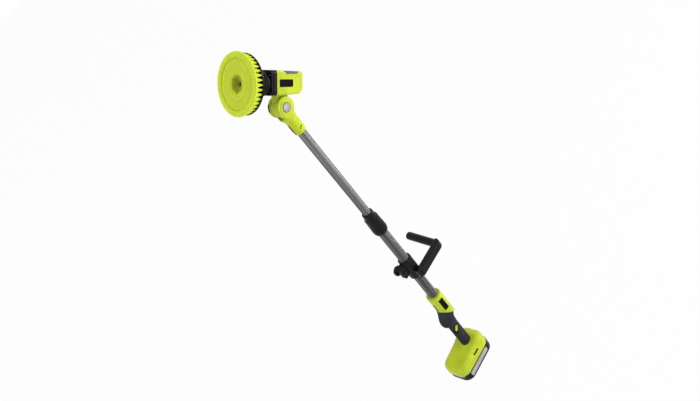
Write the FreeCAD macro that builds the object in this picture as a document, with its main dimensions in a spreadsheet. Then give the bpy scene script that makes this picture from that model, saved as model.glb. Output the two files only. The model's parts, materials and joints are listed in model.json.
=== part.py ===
import FreeCAD, Part
import math
import os
import re
import Sketcher

# A cordless telescopic scrubber: a round brush on a tilting motor head, a two-piece telescopic pole,
# an auxiliary handle clamped round it, a grip with a slide switch, and a foot that takes a battery.
# It stands on its battery. Millimetres. +Z runs up the pole, the brush faces -Y (the front), and the
# pivot's silver button is on +X. The origin is on the pole's axis at the battery's flat underside.

LENGTHS = {
    # Stack of heights up the pole, each one the stretch between two joints that show
    "battery_tall": 31.0,
    "foot_tall": 37.0,
    "grip_long": 114.0,
    "guard_tall": 73.0,
    "sleeve_long": 66.0,
    "lower_shown": 320.0,
    "collar_long": 86.0,
    "upper_shown": 332.0,
    "neck_drop": 86.0,
    # Tubes
    "lower_od": 30.0,
    "lower_wall": 1.5,
    "lower_seat": 24.0,
    "upper_od": 24.0,
    "upper_wall": 1.2,
    "upper_overlap": 137.0,
    "upper_seat": 45.0,
    "glide_long": 22.0,
    "slide_gap": 0.1,
    "turn_gap": 0.05,
    "part_gap": 0.3,
    "overrun": 2.0,
    # Collet and twist collar
    "fitting_wall": 2.6,
    "fitting_low": 13.0,
    "fitting_long": 43.0,
    "fitting_lip": 3.0,
    "collet_long": 22.0,
    "collet_wall": 2.2,
    "collet_slot": 1.2,
    "collar_wide_r": 22.0,
    "collar_mid_r": 20.5,
    "collar_nose_r": 17.5,
    "collar_nose_long": 20.0,
    "collar_round": 6.0,
    "collar_swell": 18.0,
    "flute_r": 1.5,
    "flute_depth": 1.0,
    "collar_bore_gap": 0.35,
    # Sleeve shells
    "sleeve_r": 23.5,
    "sleeve_slant": 47.0,
    "sleeve_round": 2.5,
    "seam_slot_long": 33.0,
    "seam_slot_wide": 6.0,
    "seam_slot_deep": 1.6,
    "badge_long": 50.0,
    "badge_wide": 16.5,
    "badge_round": 2.5,
    "badge_thick": 1.2,
    "badge_proud": 0.5,
    "badge_drop": 39.0,
    "badge_forward": 4.0,
    # Guard and grip
    "guard_reach": 44.0,
    "grip_r": 18.0,
    "grip_forward": 12.4,
    "grip_wall": 5.5,
    "grip_sink": 8.0,
    # Slide switch
    "switch_drop": 40.0,
    "switch_long": 24.0,
    "switch_wide": 7.5,
    "switch_thick": 3.0,
    "switch_travel": 6.0,
    "switch_tongue_long": 10.0,
    "switch_tongue_wide": 2.6,
    "switch_ridge": 0.8,
    "recess_deep": 2.6,
    "recess_rim": 1.6,
    "module_long": 37.0,
    "module_wide": 17.0,
    "module_deep": 15.0,
    # Foot and battery
    "foot_half": 46.0,
    "foot_front": 120.0,
    "foot_rear": 34.0,
    "foot_corner": 30.0,
    "foot_round": 19.0,
    "foot_crest": 13.0,
    "foot_crest_y": 10.0,
    "foot_dip_y": 34.0,
    "foot_crest_round": 40.0,
    "foot_lip": 4.5,
    "foot_lip_half": 34.0,
    "foot_slot_long": 25.0,
    "foot_slot_tall": 7.0,
    "foot_slot_deep": 5.0,
    "foot_slot_z": 55.0,
    "foot_slot_y": 34.0,
    "battery_half": 47.5,
    "battery_front": 117.0,
    "battery_back": 35.0,
    "battery_corner": 30.0,
    "tray_tall": 7.0,
    "battery_round": 3.0,
    "stem_half": 22.0,
    "stem_long": 58.0,
    "stem_tall": 24.0,
    "stem_back": 20.0,
    "stem_round": 6.0,
    "cell_r": 9.0,
    "cell_long": 65.0,
    "cell_pitch": 18.6,
    "panel_long": 100.0,
    "panel_tall": 19.5,
    "panel_low": 9.0,
    "panel_thick": 3.0,
    "panel_round": 5.0,
    "panel_middle": 46.0,
    "latch_long": 34.0,
    "latch_tall": 12.0,
    "latch_proud": 0.3,
    "latch_travel": 2.0,
    "terminal_thick": 3.0,
    "contact_long": 12.0,
    "contact_thick": 0.8,
    "contact_deep": 18.0,
    "contact_pitch": 12.0,
    # Auxiliary handle
    "clamp_low": 111.0,
    "clamp_tall": 79.0,
    "clamp_r": 20.5,
    "liner_thick": 1.5,
    "clamp_split": 1.2,
    "ear_out": 40.0,
    "ear_wide": 9.0,
    "ear_tall": 40.0,
    "ear_low": 31.0,
    "ear_round": 4.0,
    "leg_x": 26.0,
    "leg_reach": 103.0,
    "leg_wide": 22.0,
    "leg_tall": 25.4,
    "leg_round": 4.0,
    "leg_lift": 1.5,
    "bend_round": 18.0,
    "bar_r": 12.4,
    "bar_end_round": 6.0,
    "grip_reach": 116.5,
    "root_round": 3.0,
    "root_tall": 35.2,
    "bolt_r": 3.0,
    "bolt_y": 30.5,
    "bolt_head_r": 5.5,
    "bolt_head_tall": 4.0,
    "knob_r": 15.5,
    "knob_long": 15.0,
    "knob_hub_r": 8.0,
    "knob_gap": 0.5,
    "knob_flute_r": 5.0,
    "knob_cap": 4.0,
    # Neck and pivot
    "neck_r": 17.2,
    "neck_end_r": 15.8,
    "neck_cone": 14.0,
    "neck_tall": 44.0,
    "ear_r": 26.5,
    "ear_face": 20.0,
    "ear_rim_round": 3.5,
    "ear_inner": 9.5,
    "boss_r": 18.0,
    "boss_tall": 1.2,
    "lug_half": 9.2,
    "lug_r": 24.8,
    "lug_gap": 0.8,
    "lug_web": 22.0,
    "lug_web_rear": 13.0,
    "fork_lead": 1.5,
    "pin_r": 5.0,
    "pin_head_r": 9.0,
    "pin_head_tall": 3.0,
    "pin_head_sink": 3.5,
    "button_r": 12.2,
    "button_gap": 0.3,
    "button_thick": 2.4,
    "button_proud": 1.2,
    "button_dome": 0.8,
    "well_floor": 2.5,
    "lock_tip_r": 10.0,
    "lock_root_r": 8.6,
    "lock_gap": 0.15,
    "lock_grip": 5.0,
    "ear_slot_wide": 6.0,
    "ear_slot_long": 20.0,
    "ear_slot_deep": 5.0,
    "neck_slot_long": 11.0,
    "neck_slot_wide": 2.6,
    "neck_slot_deep": 2.6,
    "neck_slot_rise": 18.0,
    # Head, measured from the hinge: along the motor's axis, and across it away from the hinge
    "motor_rise": 55.9,
    "shell_half": 28.0,
    "shell_bottom": 28.5,
    "shell_top": 88.0,
    "shell_back": 47.0,
    "shell_heel_rise": 2.5,
    "shell_heel_round": 16.0,
    "shell_fall": 3.5,
    "shell_round": 6.0,
    "vent_front": 15.0,
    "vent_back": 38.0,
    "vent_slope": 10.0,
    "vent_deep": 9.0,
    "vent_slot": 2.2,
    "vent_slot_deep": 1.6,
    "head_badge_long": 40.5,
    "head_badge_tall": 17.8,
    "head_badge_lead": 27.5,
    "head_badge_rise": 1.5,
    # Gear case
    "flange_long": 16.5,
    "flange_corner": 9.0,
    "flange_groove": 1.6,
    "flange_groove_long": 2.0,
    "flange_rib_long": 4.0,
    "waist_r": 25.5,
    "waist_long": 6.5,
    "dome_r": 29.0,
    "dome_long": 5.0,
    "nose_long": 13.0,
    "nose_r": 22.5,
    "case_wall": 3.5,
    # Motor and gears
    "can_r": 18.8,
    "can_wall": 1.2,
    "can_long": 56.0,
    "can_back": 35.0,
    "can_lead": 12.5,
    "end_cap_boss_r": 6.0,
    "magnet_thick": 3.0,
    "armature_r": 13.8,
    "armature_end": 11.0,
    "commutator_r": 5.0,
    "commutator_long": 7.0,
    "shaft_r": 2.5,
    "plate_thick": 3.0,
    "gear_module": 0.8,
    "gear_wide": 12.0,
    "gear_backlash": 0.16,
    "ring_rim": 2.6,
    "planet_pin_r": 2.5,
    "carrier_thick": 3.5,
    "carrier_r": 17.0,
    "spindle_r": 6.0,
    "bearing_r": 13.0,
    "bearing_long": 8.0,
    "seal_r": 12.0,
    "seal_long": 3.5,
    # Brush
    "brush_rim_r": 76.0,
    "plate_r": 71.7,
    "brush_plate_thick": 5.0,
    "hub_reach": 30.0,
    "brush_deep": 27.0,
    "plate_dish": 3.0,
    "hub_r": 16.0,
    "hub_gap": 1.2,
    "bore_r": 21.0,
    "bore_low_r": 9.0,
    "annulus_r": 57.5,
    "annulus_sink": 1.2,
    "ring_inner_r": 59.5,
    "tuft_root_wide": 4.6,
    "tuft_root_in": 64.0,
    "tuft_root_out": 70.5,
    "tuft_free": 16.5,
    "brush_screw_r": 3.0,
    "brush_screw_long": 12.0,
    "brush_screw_head_r": 7.0,
    "brush_screw_head_tall": 3.5,
    # Fasteners
    "sleeve_screw_x": 8.5,
    "neck_screw_x": 4.2,
    "grip_screw_x": 4.5,
    "foot_screw_x": 34.0,
    "foot_screw_front": 88.5,
    "foot_screw_middle": 65.0,
    "foot_screw_rear": 21.0,
    "foot_screw_low": 15.0,
    "foot_screw_high": 22.0,
    "shell_screw_x": 19.0,
    "case_screw_x": 21.5,
    "case_screw_off": 20.0,
    "case_screw_long": 24.0,
    "screw_edge": 3.6,
    "shell_screw_front": 12.6,
    "shell_screw_rear": 10.5,
    "shell_screw_spread": 10.0,
    "motor_wall": 6.0,
    "screw_r": 1.4,
    "screw_head_r": 2.6,
    "screw_head_tall": 2.2,
}

ANGLES = {
    "head_tilt": 45.0,
    "switch_lean": 27.4,
    "switch_turn": 28.0,
    "bar_turn": 4.0,
    "pressure_angle": 25.0,
    "whole_turn": 360.0,
    "half_turn": 180.0,
}

COUNTS = {
    "sun_teeth": 12,
    "planet_teeth": 18,
    "ring_teeth": 48,
    "planets": 3,
    "lock_teeth": 12,
    "tufts": 40,
    "flutes": 20,
    "knob_lobes": 6,
    "vent_slots": 5,
    "cell_count": 5,
    "ridges": 5,
    "contacts": 3,
}

SHARES = {
    "addendum_share": 0.8,
    "dedendum_share": 1.1,
    "tooth_tip_share": 0.2,
    "tooth_root_share": 0.27,
    "tuft_merge_share": 0.98,
    "fork_low_share": 0.87,
    "fork_reach_share": 0.92,
    "fork_drop_share": 0.22,
    "scoop_share": 0.6,
    "grip_seam_share": 0.75,
}

# Heights and places worked out from the sizes above
DERIVED = {
    "foot_top": "battery_tall + foot_tall",
    "guard_low": "foot_top + grip_long",
    "sleeve_front": "guard_low + guard_tall",
    "sleeve_rear": "sleeve_front - sleeve_slant",
    "sleeve_top": "sleeve_front + sleeve_long",
    "collar_low": "sleeve_top + lower_shown",
    "collar_top": "collar_low + collar_long",
    "neck_low": "collar_top + upper_shown",
    "hinge_z": "neck_low + neck_drop",
    "lower_r": "lower_od / 2",
    "lower_bore": "lower_r - lower_wall",
    "lower_base": "guard_low + lower_seat",
    "fitting_base": "collar_low + fitting_low",
    "fitting_r": "lower_r + fitting_wall",
    "fitting_top": "fitting_base + fitting_long",
    "lower_top": "fitting_top - fitting_lip",
    "upper_r": "upper_od / 2",
    "upper_base": "collar_top - upper_overlap",
    "upper_top": "neck_low + upper_seat",
    "collet_r": "upper_r + slide_gap + collet_wall",
    "switch_z": "guard_low - switch_drop + grip_r",
    "clamp_z": "sleeve_top + clamp_low",
    "clamp_top": "clamp_z + clamp_tall",
    "liner_in": "lower_r + turn_gap",
    "liner_out": "lower_r + turn_gap + liner_thick",
    "clamp_bore": "liner_out + turn_gap",
    "bolt_z": "clamp_z + ear_low + ear_tall / 2",
    "stem_top": "battery_tall + stem_tall",
    "well_base": "ear_inner + well_floor",
    "button_back": "button_front - button_thick",
    "button_front": "ear_face + boss_tall + button_proud",
    "lock_back": "ear_inner - lock_grip",
    "flange_front": "shell_front + flange_long",
    "waist_front": "flange_front + waist_long",
    "dome_front": "waist_front + dome_long",
    "nose_front": "dome_front + nose_long",
    "can_front": "can_long - can_back",
    "can_middle": "can_front - can_long / 2",
    "shell_front": "can_front + can_lead",
    "armature_long": "can_long - 2 * armature_end",
    "armature_back": "can_middle - armature_long / 2",
    "plate_front": "can_front + plate_thick",
    "gear_back": "plate_front + part_gap",
    "gear_front": "gear_back + gear_wide",
    "orbit_r": "gear_module * (sun_teeth + planet_teeth) / 2",
    "ring_out_r": "gear_module * (ring_teeth / 2 + dedendum_share) + ring_rim",
    "carrier_back": "gear_front + part_gap",
    "carrier_front": "carrier_back + carrier_thick",
    "bearing_back": "carrier_front + part_gap",
    "bearing_front": "bearing_back + bearing_long",
    "brush_plate_back": "nose_front + hub_reach",
    "brush_face": "brush_plate_back + brush_deep",
    "plate_face": "brush_plate_back + brush_plate_thick",
}

CELLS = {**LENGTHS, **ANGLES, **COUNTS, **SHARES}
WORD = re.compile(r"[A-Za-z_][A-Za-z_0-9]*")
LEFT = "left"
RIGHT = "right"
SIDES = (1, -1)
TINY = 1e-6

doc = FreeCAD.newDocument("Scrubber")
sheet = doc.addObject("Spreadsheet::Sheet", "Sizes")
subparts = []


def fill_sheet():
    """One row for each driving size: its name, and its number under that alias."""
    for row, (alias, number) in enumerate(CELLS.items(), start=1):
        sheet.set(f"A{row}", alias)
        sheet.set(f"B{row}", str(number))
        sheet.setAlias(f"B{row}", alias)
    doc.recompute()


def bound(text):
    """The expression with derived names spelt out and each alias read from the sheet."""

    def spell(match):
        word = match.group()
        if word in DERIVED:
            return "(" + bound(DERIVED[word]) + ")"
        return "Sizes." + word if word in CELLS else word

    return WORD.sub(spell, str(text))


def value(text):
    """The number that an expression in named sizes has now."""
    return float(sheet.evalExpression(bound(text)))


def point(x, y, z):
    return FreeCAD.Vector(value(x), value(y), value(z))


# Placing and combining

ALONG = {
    "z": FreeCAD.Rotation(),
    "x": FreeCAD.Rotation(FreeCAD.Vector(0, 1, 0), 90),
    "y": FreeCAD.Rotation(FreeCAD.Vector(1, 0, 0), -90),
}


def bind(thing, **sizes):
    for name, text in sizes.items():
        thing.setExpression(name, bound(text))
    return thing


def put(thing, x=0, y=0, z=0, turn=ALONG["z"]):
    thing.Placement = FreeCAD.Placement(point(x, y, z), turn)
    for axis, text in zip("xyz", (x, y, z)):
        thing.setExpression(f".Placement.Base.{axis}", bound(text))
    return thing


def lean(thing, angle, x=0, y=0, z=0):
    """Turn a thing about the X direction through its own origin, and place that origin."""
    put(thing, x, y, z, FreeCAD.Rotation(FreeCAD.Vector(1, 0, 0), value(angle)))
    thing.setExpression(".Placement.Rotation.Angle", bound(angle))
    return thing


def rod(radius, length, x=0, y=0, z=0, along="z"):
    cylinder = bind(doc.addObject("Part::Cylinder", "Rod"), Radius=radius, Height=length)
    return put(cylinder, x, y, z, ALONG[along])


def block(x, y, z):
    """A box between a low and a high place on each axis."""
    box = doc.addObject("Part::Box", "Block")
    (x0, x1), (y0, y1), (z0, z1) = x, y, z
    bind(box, Length=f"({x1}) - ({x0})", Width=f"({y1}) - ({y0})", Height=f"({z1}) - ({z0})")
    return put(box, x0, y0, z0)


def fuse(*things):
    whole = doc.addObject("Part::MultiFuse", "Fuse")
    whole.Shapes = list(things)
    whole.Refine = True
    return whole


def held(thing):
    """A thing in a holder of its own, which can be placed again."""
    holder = doc.addObject("Part::Compound", "Held")
    holder.Links = [thing]
    return holder


def group(things):
    """Several separate solids as one piece."""
    bundle = doc.addObject("Part::Compound", "Group")
    bundle.Links = list(things)
    return bundle


def cut(base, *tools):
    taken = tools[0] if len(tools) == 1 else fuse(*tools)
    rest = doc.addObject("Part::Cut", "Cut")
    rest.Base = base
    rest.Tool = taken
    return rest


def common(*things):
    shared = doc.addObject("Part::MultiCommon", "Common")
    shared.Shapes = list(things)
    return shared


def rounded(thing, radius, picks):
    """Fillet the edges whose middle point passes the test."""
    doc.recompute()
    size = value(radius)
    numbers = [i for i, edge in enumerate(thing.Shape.Edges, start=1) if picks(middle(edge), edge)]
    fillet = doc.addObject("Part::Fillet", "Fillet")
    fillet.Base = thing
    fillet.Edges = [(number, size, size) for number in numbers]
    return fillet


def middle(edge):
    first, last = edge.ParameterRange
    return edge.valueAt((first + last) / 2)


def finished(thing, label, in_head=False):
    """Name a sub-part; those of the head are modelled upright from the hinge and tilted here."""
    if in_head:
        if not thing.Placement.isIdentity():
            thing = held(thing)
        lean(thing, "head_tilt", z="hinge_z")
    thing.Label = label
    subparts.append(thing)
    return thing


# Sketched bodies

def new_body():
    return doc.addObject("PartDesign::Body", "Body")


def new_sketch(owner, role, offset=0):
    """A sketch on one of the body's own origin planes, moved off it along its normal."""
    drawing = owner.newObject("Sketcher::SketchObject", "Sketch")
    plane = next(item for item in owner.Origin.OriginFeatures if item.Role == role)
    drawing.AttachmentSupport = [(plane, "")]
    drawing.MapMode = "FlatFace"
    drawing.setExpression(".AttachmentOffset.Base.z", bound(offset))
    return drawing


def constrain(drawing, kind, spots, text):
    number = drawing.addConstraint(Sketcher.Constraint(kind, *spots, value(text)))
    drawing.setExpression(f"Constraints[{number}]", bound(text))


def draw_outline(drawing, points):
    """A closed run of straight lines, each corner held at its place in named sizes."""
    places = [point(x, y, 0) for x, y in points]
    first = drawing.GeometryCount
    for start, end in zip(places, places[1:] + places[:1]):
        drawing.addGeometry(Part.LineSegment(start, end), False)
    for index, (x, y) in enumerate(points):
        line = first + index
        after = first + (index + 1) % len(points)
        drawing.addConstraint(Sketcher.Constraint("Coincident", line, 2, after, 1))
        constrain(drawing, "DistanceX", (-1, 1, line, 1), x)
        constrain(drawing, "DistanceY", (-1, 1, line, 1), y)


def add_pad(owner, drawing, length, centred=False):
    pad = owner.newObject("PartDesign::Pad", "Pad")
    pad.Profile = drawing
    pad.Midplane = centred
    bind(pad, Length=length)
    owner.Tip = pad
    return pad


def add_fillet(owner, radius, picks):
    doc.recompute()
    base = owner.Tip
    names = [f"Edge{i}" for i, e in enumerate(base.Shape.Edges, start=1) if picks(middle(e), e)]
    fillet = owner.newObject("PartDesign::Fillet", "Fillet")
    fillet.Base = (base, names)
    bind(fillet, Radius=radius)
    owner.Tip = fillet
    return fillet


def turned(points, centre_y=0):
    """A body turned about the upright axis from its half outline of radius and height."""
    owner = new_body()
    drawing = new_sketch(owner, "XZ_Plane")
    draw_outline(drawing, points)
    turn = owner.newObject("PartDesign::Revolution", "Turn")
    turn.Profile = drawing
    turn.ReferenceAxis = (drawing, ["V_Axis"])
    bind(turn, Angle="whole_turn")
    owner.Tip = turn
    return put(owner, 0, centre_y, 0)


def side_pad(points, width):
    """A body whose outline is drawn from the side, spread evenly across the plane of symmetry."""
    owner = new_body()
    drawing = new_sketch(owner, "YZ_Plane")
    draw_outline(drawing, points)
    add_pad(owner, drawing, width, centred=True)
    return owner


def plan_pad(points, low, length):
    """A body whose outline is drawn from above, raised from a height."""
    owner = new_body()
    drawing = new_sketch(owner, "XY_Plane", low)
    draw_outline(drawing, points)
    add_pad(owner, drawing, length)
    return owner


def along_x(position, edge):
    """Whether an edge is a straight one along X."""
    return len(edge.Vertexes) == 2 and abs(edge.tangentAt(edge.FirstParameter).x) > 1 - TINY


def upright(position, edge):
    """Whether an edge is a straight one along Z."""
    ends = edge.Vertexes
    if len(ends) < 2:
        return False
    run = ends[1].Point - ends[0].Point
    return abs(run.z) > edge.Length * (1 - TINY)


def rounded_box(half_x, back_y, front_y, low, tall, corner):
    """A box with round upright corners, about x = 0."""
    corners = [
        (f"-({half_x})", f"-({front_y})"),
        (half_x, f"-({front_y})"),
        (half_x, back_y),
        (f"-({half_x})", back_y),
    ]
    owner = plan_pad(corners, low, tall)
    add_fillet(owner, corner, upright)
    return owner


def halves(form, side):
    """One half of a form that is split down the plane of symmetry."""
    far = "foot_front + shell_top + brush_rim_r"
    span = ("0", far) if side == RIGHT else (f"-({far})", "0")
    return common(form, block(span, (f"-({far})", far), (f"-({far})", f"hinge_z + {far}")))


def screw(y, z, head_x, reach):
    """A pan-headed screw along X, its head towards -X."""
    head = rod("screw_head_r", "screw_head_tall", f"-({head_x})", y, z, "x")
    shank = rod("screw_r", f"{reach} + {head_x}", f"-({head_x})", y, z, "x")
    return fuse(head, shank)


def screw_well(y, z, head_x, depth):
    """The open well over a screw's head, out through the shell."""
    return rod("screw_head_r + part_gap", depth, f"-({head_x}) - ({depth})", y, z, "x")


# Pole

def lower_tube():
    tube = rod("lower_r", "lower_top - lower_base", z="lower_base")
    bore = rod("lower_bore", "lower_top - lower_base + 2 * overrun", z="lower_base - overrun")
    finished(cut(tube, bore), "lower_tube")


def collet_fitting():
    finished(turned([
        ("lower_r", "fitting_base"),
        ("fitting_r", "fitting_base"),
        ("fitting_r", "fitting_top - fitting_wall"),
        ("fitting_r - fitting_wall / 2", "fitting_top"),
        ("upper_r + slide_gap", "fitting_top"),
        ("upper_r + slide_gap", "lower_top"),
        ("lower_r", "lower_top"),
    ]), "collet_fitting")


def clamp_collet():
    ring = turned([
        ("upper_r + slide_gap", "fitting_top"),
        ("collet_r + collet_wall / 4", "fitting_top"),
        ("collet_r", "fitting_top + collet_long"),
        ("upper_r + slide_gap", "fitting_top + collet_long"),
    ])
    half = "collet_slot / 2"
    reach = "collet_r + overrun + collet_wall"
    low = "fitting_top + collet_wall"
    high = "fitting_top + collet_long + overrun"
    across = block((f"-({reach})", reach), (f"-({half})", half), (low, high))
    along = block((f"-({half})", half), (f"-({reach})", reach), (low, high))
    finished(cut(ring, across, along), "clamp_collet")


def twist_collar():
    """The nut: a fluted barrel with a plain nose, bored for the tube, the fitting and the collet."""
    owner = turned([
        ("lower_r + collar_bore_gap", "collar_low"),
        ("collar_wide_r - collar_round", "collar_low"),
        ("collar_wide_r - collar_round / 3", "collar_low + collar_round * 2 / 3"),
        ("collar_wide_r", "collar_low + collar_round * 2"),
        ("collar_wide_r", "collar_low + collar_swell + collar_round"),
        ("collar_mid_r", "collar_top - collar_nose_long - collar_round / 3"),
        ("collar_nose_r + collar_round / 5", "collar_top - collar_nose_long"),
        ("collar_nose_r", "collar_top - collar_nose_long + collar_round / 3"),
        ("collar_nose_r - collar_round / 6", "collar_top - collar_round / 3"),
        ("collar_nose_r - collar_round / 3", "collar_top"),
        ("upper_r + collar_bore_gap", "collar_top"),
        ("upper_r + collar_bore_gap", "fitting_top + collet_long + part_gap"),
        ("collet_r + part_gap", "fitting_top + collet_long + part_gap"),
        ("collet_r + collet_wall / 4 + part_gap", "fitting_top + part_gap"),
        ("fitting_r + collar_bore_gap", "fitting_top + part_gap"),
        ("fitting_r + collar_bore_gap", "fitting_base - part_gap"),
        ("lower_r + collar_bore_gap", "fitting_base - part_gap"),
    ])
    flute = owner.newObject("PartDesign::SubtractiveCylinder", "Flute")
    bind(flute, Radius="flute_r", Height="collar_long - collar_nose_long - collar_round * 4")
    flute.setExpression(".Placement.Base.x", bound("collar_wide_r + flute_r - flute_depth"))
    flute.setExpression(".Placement.Base.z", bound("collar_low + collar_round * 2"))
    pattern = owner.newObject("PartDesign::PolarPattern", "Flutes")
    pattern.Originals = [flute]
    axis = next(item for item in owner.Origin.OriginFeatures if item.Role == "Z_Axis")
    pattern.Axis = (axis, [""])
    bind(pattern, Angle="whole_turn", Occurrences="flutes")
    owner.Tip = pattern
    finished(owner, "twist_collar")


def upper_tube():
    tube = rod("upper_r", "upper_top - upper_base", z="upper_base")
    bore = rod("upper_r - upper_wall", "upper_top - upper_base + 2 * overrun", z="upper_base - overrun")
    finished(cut(tube, bore), "upper_tube")


def glide_bush():
    """A slit plastic ring that keeps the upper tube central in the lower one."""
    finished(turned([
        ("upper_r", "upper_base"),
        ("lower_bore - slide_gap", "upper_base"),
        ("lower_bore - slide_gap", "upper_base + glide_long"),
        ("upper_r", "upper_base + glide_long"),
    ]), "glide_bush")


# Sleeve, guard and grip

# Guard sections from top to bottom: height as a share of the guard's height, then the front as a share
# of its reach, the back and the half width as shares of the sleeve's radius
GUARD_SHARES = [
    (1.20, 0.548, 0.985, 0.985),
    (0.95, 0.560, 0.985, 0.985),
    (0.70, 0.740, 0.970, 0.975),
    (0.48, 0.945, 0.830, 0.945),
    (0.28, 1.000, 0.480, 0.890),
    (0.11, 0.930, 0.330, 0.840),
    (0.00, 0.760, 0.300, 0.825),
]


def guard_form():
    """The hand guard: ovals that bulge forward below the sleeve and draw in to the grip."""
    sections = []
    for height_share, front_share, back_share, half_share in GUARD_SHARES:
        front = f"guard_reach * {front_share}"
        back = f"sleeve_r * {back_share}"
        half_width = f"sleeve_r * {half_share}"
        half_depth = f"({front} + {back}) / 2"
        oval = doc.addObject("Part::Ellipse", "Oval")
        deeper = value(half_depth) > value(half_width)
        long_half, short_half = (half_depth, half_width) if deeper else (half_width, half_depth)
        bind(oval, MajorRadius=long_half, MinorRadius=short_half)
        turn = FreeCAD.Rotation(FreeCAD.Vector(0, 0, 1), 90 if deeper else 0)
        put(oval, 0, f"({back} - {front}) / 2", f"guard_low + guard_tall * {height_share}", turn)
        sections.append(oval)
    skin = doc.addObject("Part::Loft", "Guard")
    skin.Sections = sections
    skin.Solid = True
    return skin


def above_slant():
    """Everything above the slanted line where the lime sleeve meets the dark guard."""
    reach = "guard_reach * 4"
    slab = bind(doc.addObject("Part::Box", "Slant"), Length=reach, Width=reach, Height=reach)
    put(slab, f"-({reach}) / 2", f"-({reach}) / 2", 0)
    angle = "-(atan(sleeve_slant / (2 * sleeve_r)))"
    return lean(held(slab), angle, z="(sleeve_front + sleeve_rear) / 2")


def sleeve_shells(screws, wells):
    ring = turned([
        ("lower_r", "sleeve_rear - sleeve_round"),
        ("sleeve_r", "sleeve_rear - sleeve_round"),
        ("sleeve_r", "sleeve_top - sleeve_round"),
        ("sleeve_r - sleeve_round / 3", "sleeve_top - sleeve_round / 3"),
        ("sleeve_r - sleeve_round", "sleeve_top"),
        ("lower_r", "sleeve_top"),
    ])
    lime = common(ring, above_slant())
    badge = sleeve_badge_form()
    slot = block(
        ("-(seam_slot_wide) / 2", "seam_slot_wide / 2"),
        ("-(sleeve_r) - overrun", "-(sleeve_r) + seam_slot_deep"),
        ("sleeve_front + sleeve_round * 2", "sleeve_front + sleeve_round * 2 + seam_slot_long"),
    )
    lime = cut(lime, screws, slot)
    finished(cut(halves(lime, LEFT), wells), "sleeve_left")
    finished(cut(halves(lime, RIGHT), badge), "sleeve_right")
    finished(sleeve_badge_form(), "sleeve_badge")


def sleeve_badge_form():
    """A curved plate let into the sleeve's +X side, standing a little proud of it."""
    middle_z = "sleeve_top - badge_drop"
    low, high = f"{middle_z} - badge_long / 2", f"{middle_z} + badge_long / 2"
    skin = cut(
        rod("sleeve_r + badge_proud", "badge_long", z=low),
        rod("sleeve_r + badge_proud - badge_thick", "badge_long + 2 * overrun", z=f"{low} - overrun"),
    )
    across = ("-(badge_forward) - badge_wide / 2", "-(badge_forward) + badge_wide / 2")
    bar = block(("0", "sleeve_r * 2"), across, (low, high))
    return common(skin, rounded(bar, "badge_round", along_x))


def grip_form():
    """Guard and round grip in one; the grip's lower end sits in the foot."""
    bar = rod("grip_r", "guard_low - foot_top + grip_sink + grip_r / 2", 0, "-(grip_forward)",
              "foot_top - grip_sink")
    return fuse(bar, guard_form())


def grip_shells(screws, wells):
    form = cut(grip_form(), above_slant())
    tube_seat = rod("lower_r", "guard_tall * 2", z="lower_base")
    cavity = rod("grip_r - grip_wall", "guard_low - foot_top + grip_sink", 0, "-(grip_forward)",
                 "foot_top - grip_sink - overrun")
    hollow = cut(form, tube_seat, cavity, screws)
    finished(cut(halves(hollow, LEFT), wells), "grip_left")
    recess, slot = switch_openings()
    finished(cut(halves(hollow, RIGHT), recess, slot), "grip_right")


def by_switch(thing):
    """Turn a thing towards the front with the switch, about the grip's axis, at the switch's height."""
    round_grip = FreeCAD.Rotation(FreeCAD.Vector(0, 0, 1), value("-(switch_turn)"))
    placed = put(held(thing), 0, "-(grip_forward)", "switch_z", round_grip)
    placed.setExpression(".Placement.Rotation.Angle", bound("-(switch_turn)"))
    return placed


def at_switch(thing):
    """Lean a thing with the slanted switch and set it at the switch's middle."""
    return by_switch(lean(thing, "-(switch_lean)"))


def switch_pill(long, wide, low_x, high_x):
    """An oblong bar with round ends, upright, between two places on X."""
    straight = f"({long} - {wide}) / 2"
    middle_bar = block((low_x, high_x), (f"-({wide}) / 2", f"({wide}) / 2"), (f"-({straight})", straight))
    ends = [
        rod(f"({wide}) / 2", f"({high_x}) - ({low_x})", low_x, 0, f"{sign}({straight})", "x")
        for sign in ("-", "")
    ]
    return fuse(middle_bar, *ends)


def switch_openings():
    travel = "switch_long + switch_travel + 2 * recess_rim"
    recess = switch_pill(travel, "switch_wide + 2 * recess_rim", "grip_r - recess_deep", "grip_r * 2")
    slot = switch_pill(
        "switch_tongue_long + switch_travel + 2 * part_gap",
        "switch_tongue_wide + 2 * part_gap",
        "grip_r - grip_wall - overrun",
        "grip_r",
    )
    return at_switch(recess), at_switch(slot)


def power_switch():
    """The ridged lime slider and the tongue that reaches through the grip to the switch module."""
    low = "grip_r - recess_deep + part_gap"
    shift = "switch_travel / 2"
    plate = switch_pill("switch_long", "switch_wide", low, f"{low} + switch_thick")
    tongue = switch_pill("switch_tongue_long", "switch_tongue_wide", "grip_r - grip_wall + part_gap / 2", low)
    grooves = [
        rod(
            "switch_ridge",
            "switch_wide * 2",
            f"{low} + switch_thick + switch_ridge / 3",
            "-(switch_wide)",
            f"switch_long * ({number} - (ridges - 1) / 2) / (ridges + 1)",
            "y",
        )
        for number in range(COUNTS["ridges"])
    ]
    slider = cut(fuse(plate, tongue), *grooves)
    raised = put(held(slider), z=shift)
    finished(at_switch(held(raised)), "power_switch")


def switch_module():
    """The sealed switch block that the slider's tongue works."""
    body = block(
        ("grip_r - grip_wall - module_deep", "grip_r - grip_wall - part_gap"),
        ("-(module_wide) / 2", "module_wide / 2"),
        ("-(module_long) / 2", "module_long / 2"),
    )
    barrel = rod("grip_r - grip_wall", "module_long", z="-(module_long) / 2")
    finished(by_switch(common(body, barrel)), "switch_module")


# Foot and battery

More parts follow.
